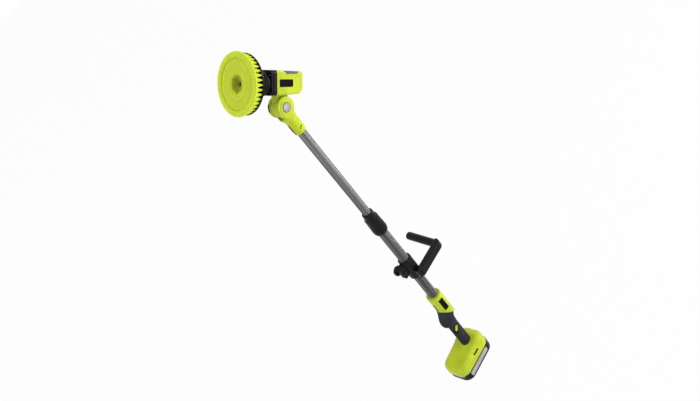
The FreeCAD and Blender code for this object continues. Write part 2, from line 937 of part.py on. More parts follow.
def foot_form():
    corners = [
        ("-(foot_front)", "battery_tall"),
        ("foot_rear", "battery_tall"),
        ("foot_rear", "foot_top"),
        ("foot_crest_y", "foot_top + foot_crest"),
        ("-(foot_dip_y)", "foot_top"),
        ("-(foot_front)", "foot_top - foot_tall / 5"),
    ]
    owner = side_pad(corners, "foot_half * 2")
    rear, front = value("foot_rear"), -value("foot_front")
    low = value("battery_tall + foot_tall / 3")

    def inside(at, edge):
        return along_x(at, edge) and front + TINY < at.y < rear - TINY

    add_fillet(owner, "foot_crest_round", lambda at, edge: inside(at, edge) and at.z > low)
    add_fillet(owner, "foot_corner", upright)
    add_fillet(owner, "foot_round", lambda at, edge: at.z > low and not upright(at, edge)
               and not (inside(at, edge) and abs(at.x) < TINY))
    return owner


def front_lip():
    """The foot's lip that hangs over the battery's front."""
    low, tall = "battery_tall - foot_lip", "foot_lip + part_gap"
    outer = rounded_box("foot_half", "foot_rear", "foot_front", low, tall, "foot_corner")
    inner = rounded_box("battery_half + part_gap", "battery_back", "battery_front + part_gap",
                        f"{low} - overrun", "foot_lip * 2 + overrun", "battery_corner + part_gap")
    span = block(("-(foot_lip_half)", "foot_lip_half"), ("-(foot_front) * 2", "-(battery_corner)"),
                 (f"{low} - overrun", "foot_top"))
    return common(cut(outer, inner), span)


def stem_box(extra, low, high):
    """The battery's stem, or its socket when made larger by a gap."""
    return rounded_box(
        f"stem_half + {extra}",
        f"stem_long / 2 - stem_back + {extra}",
        f"stem_long / 2 + stem_back + {extra}",
        low,
        f"({high}) - ({low})",
        f"stem_round + {extra}",
    )


def foot_shells(screws, wells):
    form = fuse(foot_form(), front_lip())
    socket = stem_box("part_gap", "battery_tall - overrun", "stem_top + part_gap")
    grip_seat = rod("grip_r", "foot_top", 0, "-(grip_forward)", "foot_top - grip_sink")
    side_slot = block(
        ("foot_half - foot_slot_deep", "foot_half + overrun"),
        ("-(foot_slot_y) - foot_slot_long / 2", "-(foot_slot_y) + foot_slot_long / 2"),
        ("foot_slot_z - foot_slot_tall / 2", "foot_slot_z + foot_slot_tall / 2"),
    )
    body = cut(form, socket, grip_seat, terminal_form(), screws)
    finished(cut(halves(body, LEFT), wells), "foot_left")
    finished(cut(halves(body, RIGHT), side_slot), "foot_right")


def terminal_form():
    """The contact block let into the roof of the foot's socket."""
    return block(
        ("-(contact_pitch) * contacts / 2", "contact_pitch * contacts / 2"),
        ("-(stem_back) - contact_deep / 2", "-(stem_back) + contact_deep / 2"),
        ("stem_top + part_gap", "stem_top + part_gap + terminal_thick"),
    )


def battery_body():
    """Tray, case with stem, cells and contacts."""
    tray = rounded_box("battery_half", "battery_back", "battery_front", "0", "tray_tall", "battery_corner")
    add_fillet(tray, "battery_round", lambda at, edge: abs(at.z) < TINY)
    finished(tray, "battery_tray")
    case = rounded_box("battery_half", "battery_back", "battery_front", "tray_tall",
                       "battery_tall - tray_tall", "battery_corner")
    stem = stem_box("0", "battery_tall - overrun", "stem_top")
    cells = [cell(number) for number in range(COUNTS["cell_count"])]
    contacts = [contact(number) for number in range(COUNTS["contacts"])]
    side_cuts = [form(side) for form in (panel_form, latch_pocket) for side in SIDES]
    finished(cut(fuse(case, stem), *cells, *contacts, *side_cuts), "battery_case")
    finished(group([cell(number) for number in range(COUNTS["cell_count"])]), "battery_cells")
    finished(group([contact(number) for number in range(COUNTS["contacts"])]), "battery_contacts")
    finished(group([cut(panel_form(side), latch_pocket(side)) for side in SIDES]), "battery_panels")
    for side, name in zip(SIDES, (RIGHT, LEFT)):
        finished(latch_pad(side), f"latch_{name}")


def cell(number):
    y = f"(battery_back - battery_front) / 2 + cell_pitch * ({number} - (cell_count - 1) / 2)"
    return rod("cell_r", "cell_long", "-(cell_long) / 2", y, "(tray_tall + battery_tall) / 2", "x")


def contact(number):
    x = f"contact_pitch * ({number} - (contacts - 1) / 2)"
    return block(
        (f"{x} - contact_thick", f"{x} + contact_thick"),
        ("-(stem_back) - contact_deep / 2", "-(stem_back) + contact_deep / 2"),
        ("stem_top - contact_long", "stem_top"),
    )


def side_bar(side, long, tall, low_x, high_x, corner):
    """A bar with round corners at the middle of the battery's side, side 1 on +X and -1 on -X."""
    xs = (low_x, high_x) if side == 1 else (f"-({high_x})", f"-({low_x})")
    middle_z = "panel_low + panel_tall / 2"
    bar = block(xs, (f"-(panel_middle) - ({long}) / 2", f"-(panel_middle) + ({long}) / 2"),
                (f"{middle_z} - ({tall}) / 2", f"{middle_z} + ({tall}) / 2"))
    return rounded(bar, corner, along_x)


def panel_form(side):
    return side_bar(side, "panel_long", "panel_tall", "battery_half - panel_thick", "battery_half",
                    "panel_round")


def latch_pad(side):
    return side_bar(side, "latch_long", "latch_tall", "battery_half - panel_thick + slide_gap",
                    "battery_half + latch_proud", "panel_round / 2")


def latch_pocket(side):
    """The room that a pressed pad sinks into."""
    return side_bar(side, "latch_long + 2 * part_gap", "latch_tall + 2 * part_gap",
                    "battery_half - panel_thick - latch_travel", "battery_half + overrun",
                    "panel_round / 2 + part_gap")


# Auxiliary handle

def clamp_liner():
    finished(cut(
        rod("liner_out", "clamp_tall", z="clamp_z"),
        rod("liner_in", "clamp_tall + 2 * overrun", z="clamp_z - overrun"),
    ), "clamp_liner")


def clamp_barrel():
    barrel = rod("clamp_r", "clamp_tall", z="clamp_z")
    return rounded(barrel, "root_round", lambda at, edge: len(edge.Vertexes) == 1)


def handle_bar():
    """The flat leg to the rear with its round bend, and the round grip across."""
    inner, outer = "leg_x - leg_wide / 2", "leg_x + leg_wide / 2"
    low = "clamp_z + leg_lift"
    leg = plan_pad([
        (inner, "0"),
        (outer, "0"),
        (outer, "leg_reach + leg_tall / 2"),
        (inner, "leg_reach + leg_tall / 2"),
    ], low, "leg_tall")
    far, side = value("leg_reach"), value("leg_x")
    add_fillet(leg, "bend_round", lambda at, edge: upright(at, edge) and at.y > far and at.x > side)
    flat = value(f"{low} + leg_tall / 2")
    add_fillet(leg, "leg_round", lambda at, edge: at.y > TINY and abs(at.z - flat) > TINY)
    bar = rounded(rod("bar_r", "grip_reach", "-(grip_reach)", along="x"), "bar_end_round",
                  lambda at, edge: len(edge.Vertexes) == 1 and at.x < -TINY)
    turn = FreeCAD.Rotation(FreeCAD.Vector(0, 0, 1), value("-(bar_turn)"))
    grip = put(held(bar), "leg_x - leg_wide / 4", "leg_reach", f"{low} + leg_tall / 2", turn)
    grip.setExpression(".Placement.Rotation.Angle", bound("-(bar_turn)"))
    return fuse(leg, grip)


def aux_handle():
    bore = rod("clamp_bore", "clamp_tall * 3", z="clamp_z - clamp_tall")
    ear = rounded(block(
        ("clamp_split / 2 - part_gap", "ear_wide"),
        ("-(ear_out)", "0"),
        ("clamp_z + ear_low", "clamp_z + ear_low + ear_tall"),
    ), "ear_round", lambda at, edge: at.y < -value("ear_out") + TINY)
    root = rounded(block(
        ("0", "leg_x + leg_wide / 2 - root_round"),
        ("-(leg_wide) / 2", "leg_wide / 2"),
        ("clamp_z + leg_lift + root_round / 2", "clamp_z + root_tall"),
    ), "root_round", lambda at, edge: at.x > TINY)
    solid = fuse(clamp_barrel(), ear, root, handle_bar())
    near = block(("clamp_split / 2", "ear_out * 4"), ("-(ear_out) * 4", "ear_out * 4"),
                 ("clamp_z - clamp_tall", "clamp_top + clamp_tall"))
    past = block(("-(grip_reach) * 2", "grip_reach"), ("clamp_r * 2", "leg_reach * 2"),
                 ("clamp_z - clamp_tall", "clamp_top + clamp_tall"))
    kept = common(solid, fuse(near, past))
    hole = rod("bolt_r", "ear_out * 4", "-(ear_out) * 2", "-(bolt_y)", "bolt_z", "x")
    head = rod("bolt_head_r", "bolt_head_tall * 4", "ear_wide - bolt_head_tall / 2",
               "-(bolt_y)", "bolt_z", "x")
    finished(cut(kept, bore, hole, head), "aux_handle")


def clamp_cap():
    bore = rod("clamp_bore", "clamp_tall * 3", z="clamp_z - clamp_tall")
    ear = rounded(block(
        ("-(ear_wide)", "-(clamp_split) / 2"),
        ("-(ear_out)", "0"),
        ("clamp_z + ear_low", "clamp_z + ear_low + ear_tall"),
    ), "ear_round", lambda at, edge: at.y < -value("ear_out") + TINY)
    far = block(("-(ear_out) * 4", "-(clamp_split) / 2"), ("-(ear_out) * 4", "ear_out * 4"),
                ("clamp_z - clamp_tall", "clamp_top + clamp_tall"))
    hole = rod("bolt_r", "ear_out * 4", "-(ear_out) * 2", "-(bolt_y)", "bolt_z", "x")
    finished(cut(common(fuse(clamp_barrel(), ear), far), bore, hole), "clamp_cap")


def clamp_bolt():
    tip = "ear_wide + knob_gap + knob_long - knob_cap"
    head = rod("bolt_head_r", "bolt_head_tall", "ear_wide - bolt_head_tall / 2", "-(bolt_y)", "bolt_z", "x")
    shank = rod("bolt_r", f"{tip} + ear_wide", f"-({tip})", "-(bolt_y)", "bolt_z", "x")
    finished(fuse(head, shank), "clamp_bolt")


def clamp_knob():
    """A lobed knob on the bolt, hub against the far ear."""
    near = "-(ear_wide) - knob_gap"
    rim = "knob_long * 2 / 3"
    hub = rod("knob_hub_r", "knob_long", f"{near} - knob_long", "-(bolt_y)", "bolt_z", "x")
    wheel = rounded(rod("knob_r", rim, f"{near} - knob_long", "-(bolt_y)", "bolt_z", "x"),
                    "knob_flute_r / 3", lambda at, edge: len(edge.Vertexes) == 1)
    bite = "knob_r + knob_flute_r * scoop_share"
    scoops = [
        rod(
            "knob_flute_r",
            "knob_long * 2",
            f"{near} - knob_long * 1.5",
            f"-(bolt_y) + ({bite}) * cos(whole_turn * {number} / knob_lobes)",
            f"bolt_z + ({bite}) * sin(whole_turn * {number} / knob_lobes)",
            "x",
        )
        for number in range(COUNTS["knob_lobes"])
    ]
    bore = rod("bolt_r + turn_gap", "knob_long - knob_cap + overrun",
               f"{near} - knob_long + knob_cap - turn_gap", "-(bolt_y)", "bolt_z", "x")
    finished(cut(fuse(hub, wheel), *scoops, bore), "clamp_knob")


# Neck and pivot

def neck_form():
    """Neck and fork in one: a turned socket for the tube, which spreads into two round ears."""
    socket = turned([
        ("0", "neck_low"),
        ("neck_end_r - boss_tall", "neck_low"),
        ("neck_end_r", "neck_low + boss_tall"),
        ("neck_r", "neck_low + neck_cone"),
        ("neck_r", "neck_low + neck_tall"),
        ("0", "neck_low + neck_tall"),
    ])
    base = bind(doc.addObject("Part::Circle", "Ring"), Radius="neck_r")
    put(base, 0, 0, "neck_low + neck_tall")
    ovals = []
    for drop, share in (("ear_r", "fork_low_share"), ("ear_r * fork_drop_share", "fork_reach_share")):
        oval = doc.addObject("Part::Ellipse", "Oval")
        bind(oval, MajorRadius=f"ear_r * {share}", MinorRadius=f"ear_face * {share}")
        put(oval, 0, "-(fork_lead)", f"hinge_z - {drop}", FreeCAD.Rotation(FreeCAD.Vector(0, 0, 1), 90))
        ovals.append(oval)
    spread = doc.addObject("Part::Loft", "Spread")
    spread.Sections = [base, *ovals]
    spread.Solid = True
    spread.Ruled = True
    discs = rounded(rod("ear_r", "ear_face * 2", "-(ear_face)", 0, "hinge_z", "x"), "ear_rim_round",
                    lambda at, edge: len(edge.Vertexes) == 1)
    bosses = rod("boss_r", "(ear_face + boss_tall) * 2", "-(ear_face) - boss_tall", 0, "hinge_z", "x")
    return fuse(socket, spread, discs, bosses)


def neck_shells(screws, wells):
    tube_seat = rod("upper_r", "upper_top - neck_low + overrun", z="neck_low - overrun")
    lug_well = rod("lug_r + lug_gap", "ear_inner * 2", "-(ear_inner)", 0, "hinge_z", "x")
    mouth = block(("-(ear_inner)", "ear_inner"), ("-(ear_r) * 2", "ear_r * 2"),
                  ("hinge_z - lug_web - lug_gap", "hinge_z + ear_r * 2"))
    seam = block(("-(seam_slot_wide) / 2", "seam_slot_wide / 2"),
                 ("-(neck_r) - overrun", "-(neck_r) + seam_slot_deep"),
                 ("neck_low + neck_cone / 4", "neck_low + neck_cone / 4 + seam_slot_long"))
    form = cut(neck_form(), tube_seat, lug_well, mouth, screws, seam)
    pin_bore = rod("pin_r", "ear_face * 4", "-(ear_face) * 2", 0, "hinge_z", "x")
    pin_seat = rod("pin_head_r", "ear_face",
                   "-(ear_face) - boss_tall - ear_face + pin_head_sink + pin_head_tall", 0, "hinge_z", "x")
    ear_slot = block(
        ("-(ear_face) + ear_rim_round / 2", "-(ear_face) + ear_rim_round / 2 + ear_slot_wide"),
        ("-(ear_r) - overrun", "-(ear_r) + ear_slot_deep"),
        ("-(ear_slot_long) / 2", "ear_slot_long / 2"),
    )
    raised_slot = lean(held(ear_slot), "-(half_turn) / 5", 0, 0, "hinge_z")
    finished(cut(halves(form, LEFT), pin_bore, pin_seat, raised_slot, wells), "neck_left")
    button_well = rod("button_r + button_gap", "ear_face", "well_base", 0, "hinge_z", "x")
    lock_socket = in_ear(toothed("lock_tip_r + lock_gap", "lock_root_r + lock_gap", "ear_face", "lock_teeth",
                                 "lock_gap"))
    mark = block(("neck_r - neck_slot_deep", "neck_r + overrun"),
                 ("-(neck_slot_long) / 2", "neck_slot_long / 2"),
                 ("-(neck_slot_wide) / 2", "neck_slot_wide / 2"))
    leaning_mark = lean(held(mark), "half_turn / 6", 0, 0, "neck_low + neck_slot_rise")
    finished(cut(halves(form, RIGHT), button_well, lock_socket, leaning_mark), "neck_right")


def toothed(tip, root, length, teeth, spread):
    """A bar with square-shouldered teeth along Z, standing on the XY plane."""
    count = COUNTS[teeth]
    step = 2 * math.pi / count
    corners = []
    for number in range(count):
        middle_angle = number * step
        out, deep = value(tip), value(root)
        half_tip = step * value("tooth_tip_share") + value(spread) / out
        half_root = step * value("tooth_root_share") + value(spread) / deep
        for radius, angle in ((deep, -half_root), (out, -half_tip), (out, half_tip), (deep, half_root)):
            turn = middle_angle + angle
            corners.append(FreeCAD.Vector(radius * math.cos(turn), radius * math.sin(turn), 0))
    face = Part.Face(Part.makePolygon(corners + corners[:1]))
    bar = doc.addObject("Part::Feature", "Toothed")
    bar.Shape = face.extrude(FreeCAD.Vector(0, 0, value(length)))
    return bar


def in_ear(bar):
    """Lay a toothed bar along X so that it starts in the ear's floor."""
    return put(bar, "ear_inner - part_gap", 0, "hinge_z", ALONG["x"])


def hinge_pin():
    head = rod("pin_head_r", "pin_head_tall", "-(ear_face) - boss_tall + pin_head_sink", 0, "hinge_z", "x")
    shank = rod("pin_r", "ear_face + boss_tall - pin_head_sink + well_base",
                "-(ear_face) - boss_tall + pin_head_sink", 0, "hinge_z", "x")
    finished(fuse(head, shank), "hinge_pin")


def pivot_button():
    """The silver button and its rim, a slightly domed cap."""
    cap = turned([
        ("0", "button_back"),
        ("button_r", "button_back"),
        ("button_r", "button_front - button_dome"),
        ("button_r - button_dome", "button_front - button_dome / 4"),
        ("0", "button_front"),
    ])
    finished(put(cap, 0, 0, "hinge_z", ALONG["x"]), "pivot_button")


def lock_gear():
    """The toothed collar that the button pushes out of the ear to free the head."""
    bar = put(toothed("lock_tip_r", "lock_root_r", "well_base - lock_back", "lock_teeth", "0"),
              "lock_back", 0, "hinge_z", ALONG["x"])
    stem = rod("lock_root_r - lock_gap * 4", "button_back - lock_back", "lock_back", 0, "hinge_z", "x")
    bore = rod("pin_r + turn_gap", "ear_face * 4", "-(ear_face) * 2", 0, "hinge_z", "x")
    finished(cut(fuse(bar, stem), bore), "lock_gear")


# Head, upright from the hinge: the motor's axis runs along +Z at a rise of motor_rise along +Y

def housing_form():
    owner = side_pad([
        ("shell_bottom", "shell_front"),
        ("shell_bottom + shell_heel_rise", "-(shell_back)"),
        ("shell_top - shell_fall", "-(shell_back)"),
        ("shell_top", "shell_front"),
    ], "shell_half * 2")
    front = value("shell_front")
    rise = value("motor_rise")
    add_fillet(owner, "shell_heel_round",
               lambda at, edge: along_x(at, edge) and at.z < front - TINY and at.y < rise)
    add_fillet(owner, "shell_round",
               lambda at, edge: along_x(at, edge) and at.z < front - TINY and at.y > rise)
    half = value("shell_half")
    add_fillet(owner, "shell_round", lambda at, edge: abs(abs(at.x) - half) < TINY
               and at.z < front - TINY)
    return owner


def lug_form():
    """The hinge lug: a round knuckle and the web that carries the housing."""
    knuckle = rod("lug_r", "lug_half * 2", "-(lug_half)", along="x")
    web = block(("-(lug_half)", "lug_half"), ("0", "shell_bottom + shell_round"),
                ("-(lug_web_rear)", "lug_web"))
    return fuse(knuckle, web)


def vent_prism():
    return side_pad([
        ("shell_top - vent_deep", "vent_front - vent_slope"),
        ("shell_top + overrun", "vent_front + overrun"),
        ("shell_top + overrun", "-(vent_back) - overrun"),
        ("shell_top - vent_deep", "-(vent_back) + vent_slope"),
    ], "shell_half * 4")


def top_vent():
    slots = [
        block(
            ("-(shell_half) / 2", "shell_half / 2"),
            ("shell_top - vent_slot_deep", "shell_top + overrun"),
            (f"{middle_z} - vent_slot / 2", f"{middle_z} + vent_slot / 2"),
        )
        for middle_z in (
            f"(vent_front - vent_back) / 2 + vent_slot * 3 * ({number} - (vent_slots - 1) / 2)"
            for number in range(COUNTS["vent_slots"])
        )
    ]
    finished(cut(common(housing_form(), vent_prism()), *slots), "top_vent", in_head=True)


def head_badge_form():
    """The bare badge plate on the housing's +X side."""
    depth = "badge_thick - badge_proud"
    rise = "motor_rise + head_badge_rise"
    lead = "shell_front - head_badge_lead"
    plate = block(
        (f"shell_half - ({depth})", "shell_half + badge_proud"),
        (f"{rise} - head_badge_tall / 2", f"{rise} + head_badge_tall / 2"),
        (f"{lead} - head_badge_long / 2", f"{lead} + head_badge_long / 2"),
    )
    return rounded(plate, "badge_round", along_x)


def head_housing(screws, wells):
    outer = fuse(housing_form(), lug_form())
    motor_room = rod("can_r", "shell_back - motor_wall + shell_front + overrun", 0, "motor_rise",
                     "-(shell_back) + motor_wall")
    gear_room = rod("ring_out_r", "shell_front * 2", 0, "motor_rise", "can_front")
    pin_bore = rod("pin_r + turn_gap", "lug_half * 4", "-(lug_half) * 2", along="x")
    hollow = cut(outer, motor_room, gear_room, vent_prism(), pin_bore, screws)
    finished(cut(halves(hollow, LEFT), wells), "housing_left", in_head=True)
    lock_room = rod("lock_tip_r + part_gap", "lug_half * 2", 0, along="x")
    finished(cut(halves(hollow, RIGHT), lock_room, head_badge_form()), "housing_right", in_head=True)
    finished(head_badge_form(), "head_badge", in_head=True)


def gear_case(screws):
    """Dark gear case: a ribbed square flange, a round waist and a domed nose over the spindle."""
    layers = [
        ("shell_front", "flange_long - flange_rib_long - flange_groove_long", "0"),
        ("flange_front - flange_rib_long - flange_groove_long", "flange_groove_long", "flange_groove"),
        ("flange_front - flange_rib_long", "flange_rib_long", "0"),
    ]
    plates = []
    for low, length, inset in layers:
        owner = plan_pad([
            (f"-(shell_half) + {inset}", f"shell_bottom + {inset}"),
            (f"shell_half - {inset}", f"shell_bottom + {inset}"),
            (f"shell_half - {inset}", f"shell_top - {inset}"),
            (f"-(shell_half) + {inset}", f"shell_top - {inset}"),
        ], low, length)
        add_fillet(owner, "flange_corner", upright)
        plates.append(owner)
    nose = turned([
        ("0", "flange_front - flange_rib_long"),
        ("waist_r", "flange_front - flange_rib_long"),
        ("waist_r", "waist_front"),
        ("dome_r", "waist_front"),
        ("dome_r", "waist_front + dome_long / 2"),
        ("dome_r - dome_long / 4", "dome_front"),
        ("dome_r - dome_long * 2 / 3", "dome_front + nose_long / 2"),
        ("nose_r", "nose_front - case_wall / 2"),
        ("nose_r - case_wall", "nose_front"),
        ("0", "nose_front"),
    ], "motor_rise")
    gear_room = rod("ring_out_r", "bearing_back - can_front", 0, "motor_rise", "can_front")
    bearing_seat = rod("bearing_r", "bearing_long + overrun", 0, "motor_rise", "bearing_back - overrun")
    seal_seat = rod("seal_r", "nose_front", 0, "motor_rise", "bearing_front")
    finished(cut(fuse(*plates, nose), gear_room, bearing_seat, seal_seat, screws), "gear_case", in_head=True)


def on_axis(radius, length, low):
    return rod(radius, length, 0, "motor_rise", low)


def motor():
    can = cut(
        on_axis("can_r", "can_long", "-(can_back)"),
        on_axis("can_r - can_wall", "can_long - 2 * can_wall", "-(can_back) + can_wall"),
        on_axis("end_cap_boss_r", "can_long * 2", "-(can_back) * 2"),
    )
    finished(can, "motor_can", in_head=True)
    bushes = [
        cut(on_axis("end_cap_boss_r", "can_wall * 3", low),
            on_axis("shaft_r + turn_gap", "can_long * 3", "-(can_long)"))
        for low in ("-(can_back)", "can_front - can_wall * 3")
    ]
    finished(group(bushes), "motor_bushes", in_head=True)
    shell = cut(
        on_axis("can_r - can_wall", "armature_long", "armature_back"),
        on_axis("can_r - can_wall - magnet_thick", "can_long * 2", "-(can_long)"),
    )
    split = block(("-(can_r) * 2", "can_r * 2"), ("motor_rise - magnet_thick", "motor_rise + magnet_thick"),
                  ("-(can_long)", "can_long"))
    finished(cut(shell, split), "motor_magnets", in_head=True)


def armature():
    commutator = on_axis("commutator_r", "commutator_long", "armature_back")
    core = on_axis("armature_r", "armature_long - commutator_long", "armature_back + commutator_long")
    shaft = on_axis("shaft_r", "can_back - can_wall + gear_front", "-(can_back) + can_wall")
    finished(fuse(core, commutator, shaft), "motor_armature", in_head=True)


def motor_plate():
    plate = on_axis("ring_out_r", "plate_thick", "can_front")
    hole = on_axis("shaft_r * 2", "plate_thick * 3", "can_front - plate_thick")
    finished(cut(plate, hole), "motor_plate", in_head=True)


# Gears

def involute_profile(teeth, inward=0.0):
    """Corners of a spur gear's outline; inward swaps tip and root for an internal gear."""
    module = value("gear_module")
    pressure = math.radians(value("pressure_angle"))
    pitch_r = module * teeth / 2
    base_r = pitch_r * math.cos(pressure)
    rise, fall = value("addendum_share") * module, value("dedendum_share") * module
    tip_r, root_r = (pitch_r + fall, pitch_r - rise) if inward else (pitch_r + rise, pitch_r - fall)
    slack = value("gear_backlash") / 4
    half_pitch_angle = math.pi / (2 * teeth) + (slack if inward else -slack) / pitch_r
    flank = []
    for share in (0.0, 0.35, 0.7, 1.0):
        radius = root_r + (tip_r - root_r) * share
        spot = max(radius, base_r)
        angle = math.acos(base_r / spot)
        roll = math.tan(angle) - angle
        flank.append((radius, half_pitch_angle + math.tan(pressure) - pressure - roll))
    corners = []
    for number in range(teeth):
        centre = 2 * math.pi * number / teeth
        for radius, angle in [(r, -a) for r, a in flank] + [(r, a) for r, a in reversed(flank)]:
            turn = centre + angle
            corners.append(FreeCAD.Vector(radius * math.cos(turn), radius * math.sin(turn), 0))
    return Part.Face(Part.makePolygon(corners + corners[:1]))


def gear(teeth, bore):
    """A spur gear standing on the XY plane, one tooth along +X."""
    wheel = involute_profile(teeth).extrude(FreeCAD.Vector(0, 0, value("gear_wide")))
    hole = Part.makeCylinder(value(bore), value("gear_wide * 3"), point(0, 0, "-(gear_wide)"))
    return wheel.cut(hole)


def gear_piece(shape, label, turn, x=0, y=0):
    wheel = doc.addObject("Part::Feature", "Gear")
    wheel.Shape = shape
    put(wheel, x, f"motor_rise + {y}", "gear_back", FreeCAD.Rotation(FreeCAD.Vector(0, 0, 1), turn))
    finished(wheel, label, in_head=True)


def gears():
    """Sun, planets and ring, set so that the teeth mesh at rest."""
    sun, planet, ring = (COUNTS[name] for name in ("sun_teeth", "planet_teeth", "ring_teeth"))
    gear_piece(gear(sun, "shaft_r"), "sun_gear", 0)
    tall = value("gear_wide")
    rim = Part.makeCylinder(value("ring_out_r"), tall)
    inner = involute_profile(ring, inward=1.0).extrude(FreeCAD.Vector(0, 0, tall))
    gear_piece(rim.cut(inner), "ring_gear", ring_turn(sun, planet, ring))
    for number in range(COUNTS["planets"]):
        place = 360 * number / COUNTS["planets"]
        spin = planet_turn(place, sun, planet)
        around = f"whole_turn * {number} / planets"
        gear_piece(gear(planet, "planet_pin_r + turn_gap"), f"planet_gear_{number + 1}", spin,
                   f"orbit_r * cos({around})", f"orbit_r * sin({around})")


def planet_turn(place, sun, planet):
    """The turn that puts a planet's gap on the sun's tooth line, at an angle round the sun."""
    return place + 180 - 180 / planet + place * sun / planet


def ring_turn(sun, planet, ring):
    """The turn that puts the ring's space over the planet's outer tooth on the +X side."""
    outer_tooth = (0 - planet_turn(0, sun, planet)) % (360 / planet)
    return -outer_tooth * planet / ring


# Brush

def planet_carrier():
    """Carrier disc with the planets' pins behind it and the output spindle in front."""
    disc = on_axis("carrier_r", "carrier_thick", "carrier_back")
    spindle = on_axis("spindle_r", "plate_face - carrier_back", "carrier_back")
    pins = [
        rod(
            "planet_pin_r",
            "carrier_thick + gear_wide",
            f"orbit_r * cos(whole_turn * {number} / planets)",
            f"motor_rise + orbit_r * sin(whole_turn * {number} / planets)",
            "carrier_back - gear_wide",
        )
        for number in range(COUNTS["planets"])
    ]
    shaft_clear = on_axis("shaft_r * 2", "part_gap * 2", "carrier_back - part_gap")
    screw_hole = on_axis("brush_screw_r", "plate_face", "plate_face - brush_screw_long")
    finished(cut(fuse(disc, spindle, *pins), shaft_clear, screw_hole), "planet_carrier", in_head=True)


def output_bearing():
    finished(cut(on_axis("bearing_r", "bearing_long", "bearing_back"),
                 on_axis("spindle_r + turn_gap", "bearing_long * 3", "bearing_back - bearing_long")),
             "output_bearing", in_head=True)
    finished(cut(on_axis("seal_r", "seal_long", "bearing_front"),
                 on_axis("spindle_r + turn_gap", "bearing_long * 3", "bearing_front - bearing_long")),
             "shaft_seal", in_head=True)


def brush_plate():
    """A dished backing plate with a hub that seats on the spindle."""
    finished(turned([
        ("spindle_r", "nose_front + hub_gap"),
        ("hub_r", "nose_front + hub_gap"),
        ("hub_r", "brush_plate_back - plate_dish"),
        ("hub_r + plate_dish * 2", "brush_plate_back"),
        ("plate_r - plate_dish * 2", "brush_plate_back"),
        ("plate_r", "brush_plate_back + plate_dish / 2"),
        ("plate_r", "plate_face"),
        ("spindle_r", "plate_face"),
    ], "motor_rise"), "brush_plate", in_head=True)


def bristles():
    """Two rings of packed bristles: a plain inner ring, and an outer one of tufts that fan out and merge."""
    inner = turned([
        ("bore_low_r", "plate_face"),
        ("annulus_r - plate_dish", "plate_face"),
        ("annulus_r", "brush_face - annulus_sink - plate_dish"),
        ("annulus_r - plate_dish / 3", "brush_face - annulus_sink"),
        ("bore_r + plate_dish / 3", "brush_face - annulus_sink"),
        ("bore_r", "brush_face - annulus_sink - plate_dish"),
    ], "motor_rise")
    finished(inner, "bristles_inner", in_head=True)
    tufts = doc.addObject("Part::Feature", "Tufts")
    tufts.Shape = tuft_ring()
    put(tufts, 0, "motor_rise", "plate_face")
    finished(tufts, "bristles_outer", in_head=True)


def tuft_ring():
    """The outer ring: a band of merged tips on separate roots, one root for each tuft."""
    tall = value("brush_face - plate_face")
    free = value("tuft_free")
    inner, outer = value("ring_inner_r"), value("brush_rim_r")
    root_in, root_out = value("tuft_root_in"), value("tuft_root_out")
    round_off = value("plate_dish / 2")
    flare = root_out + (outer - root_out) * free / tall
    narrow = root_in + (inner - root_in) * free / tall
    outline = [
        FreeCAD.Vector(narrow, 0, free),
        FreeCAD.Vector(flare, 0, free),
        FreeCAD.Vector(outer, 0, tall - round_off),
        FreeCAD.Vector(outer - round_off, 0, tall),
        FreeCAD.Vector(inner + round_off / 2, 0, tall),
        FreeCAD.Vector(inner, 0, tall - round_off),
    ]
    band = Part.Face(Part.makePolygon(outline + outline[:1]))
    ring = band.revolve(FreeCAD.Vector(0, 0, 0), FreeCAD.Vector(0, 0, 1), 360)
    count = COUNTS["tufts"]
    half_step = math.pi / count
    half_root = value("tuft_root_wide") / 2
    merge = value("tuft_merge_share")
    roots = []
    for number in range(count):
        turn = 2 * half_step * number
        wide_out = flare * math.tan(half_step) * merge
        wide_in = narrow * math.tan(half_step) * merge
        low = [(root_in, -half_root), (root_out, -half_root), (root_out, half_root), (root_in, half_root)]
        high = [(narrow, -wide_in), (flare * math.cos(half_step), -wide_out),
                (flare * math.cos(half_step), wide_out), (narrow, wide_in)]
        wires = []
        for corners, height in ((low, 0.0), (high, free + round_off / 4)):
            spots = [FreeCAD.Vector(x * math.cos(turn) - y * math.sin(turn),
                                    x * math.sin(turn) + y * math.cos(turn), height) for x, y in corners]
            wires.append(Part.makePolygon(spots + spots[:1]))
        roots.append(Part.makeLoft(wires, True, True))
    return ring.multiFuse(roots)


def brush_screw():
    head = on_axis("brush_screw_head_r", "brush_screw_head_tall", "plate_face")
    shank = on_axis("brush_screw_r", "brush_screw_long + brush_screw_head_tall",
                    "plate_face - brush_screw_long")
    finished(fuse(head, shank), "brush_screw", in_head=True)


# Fasteners: one set for each assembly, and the shells are cut to them

def screw_set(spots, head_x, label):
    """Screws along X at places of Y and Z; returns the solids and the open wells over their heads."""
    solids = [screw(y, z, head_x, head_x) for y, z in spots]
    wells = [screw_well(y, z, head_x, "foot_half") for y, z in spots]
    finished(group(solids), label)
    cutters = [screw(y, z, head_x, head_x) for y, z in spots]
    return group(cutters), group(wells)


def case_screws():
    """Four screws along the motor's axis through the gear case's flange into the housing."""
    solids = []
    for side in ("", "-"):
        for rise in ("", "-"):
            x = f"{side}(case_screw_x)"
            y = f"motor_rise + {rise}(case_screw_off)"
            head = rod("screw_head_r", "screw_head_tall", x, y, "flange_front")
            shank = rod("screw_r", "case_screw_long", x, y, "flange_front - case_screw_long")
            solids.append(fuse(head, shank))
    return solids


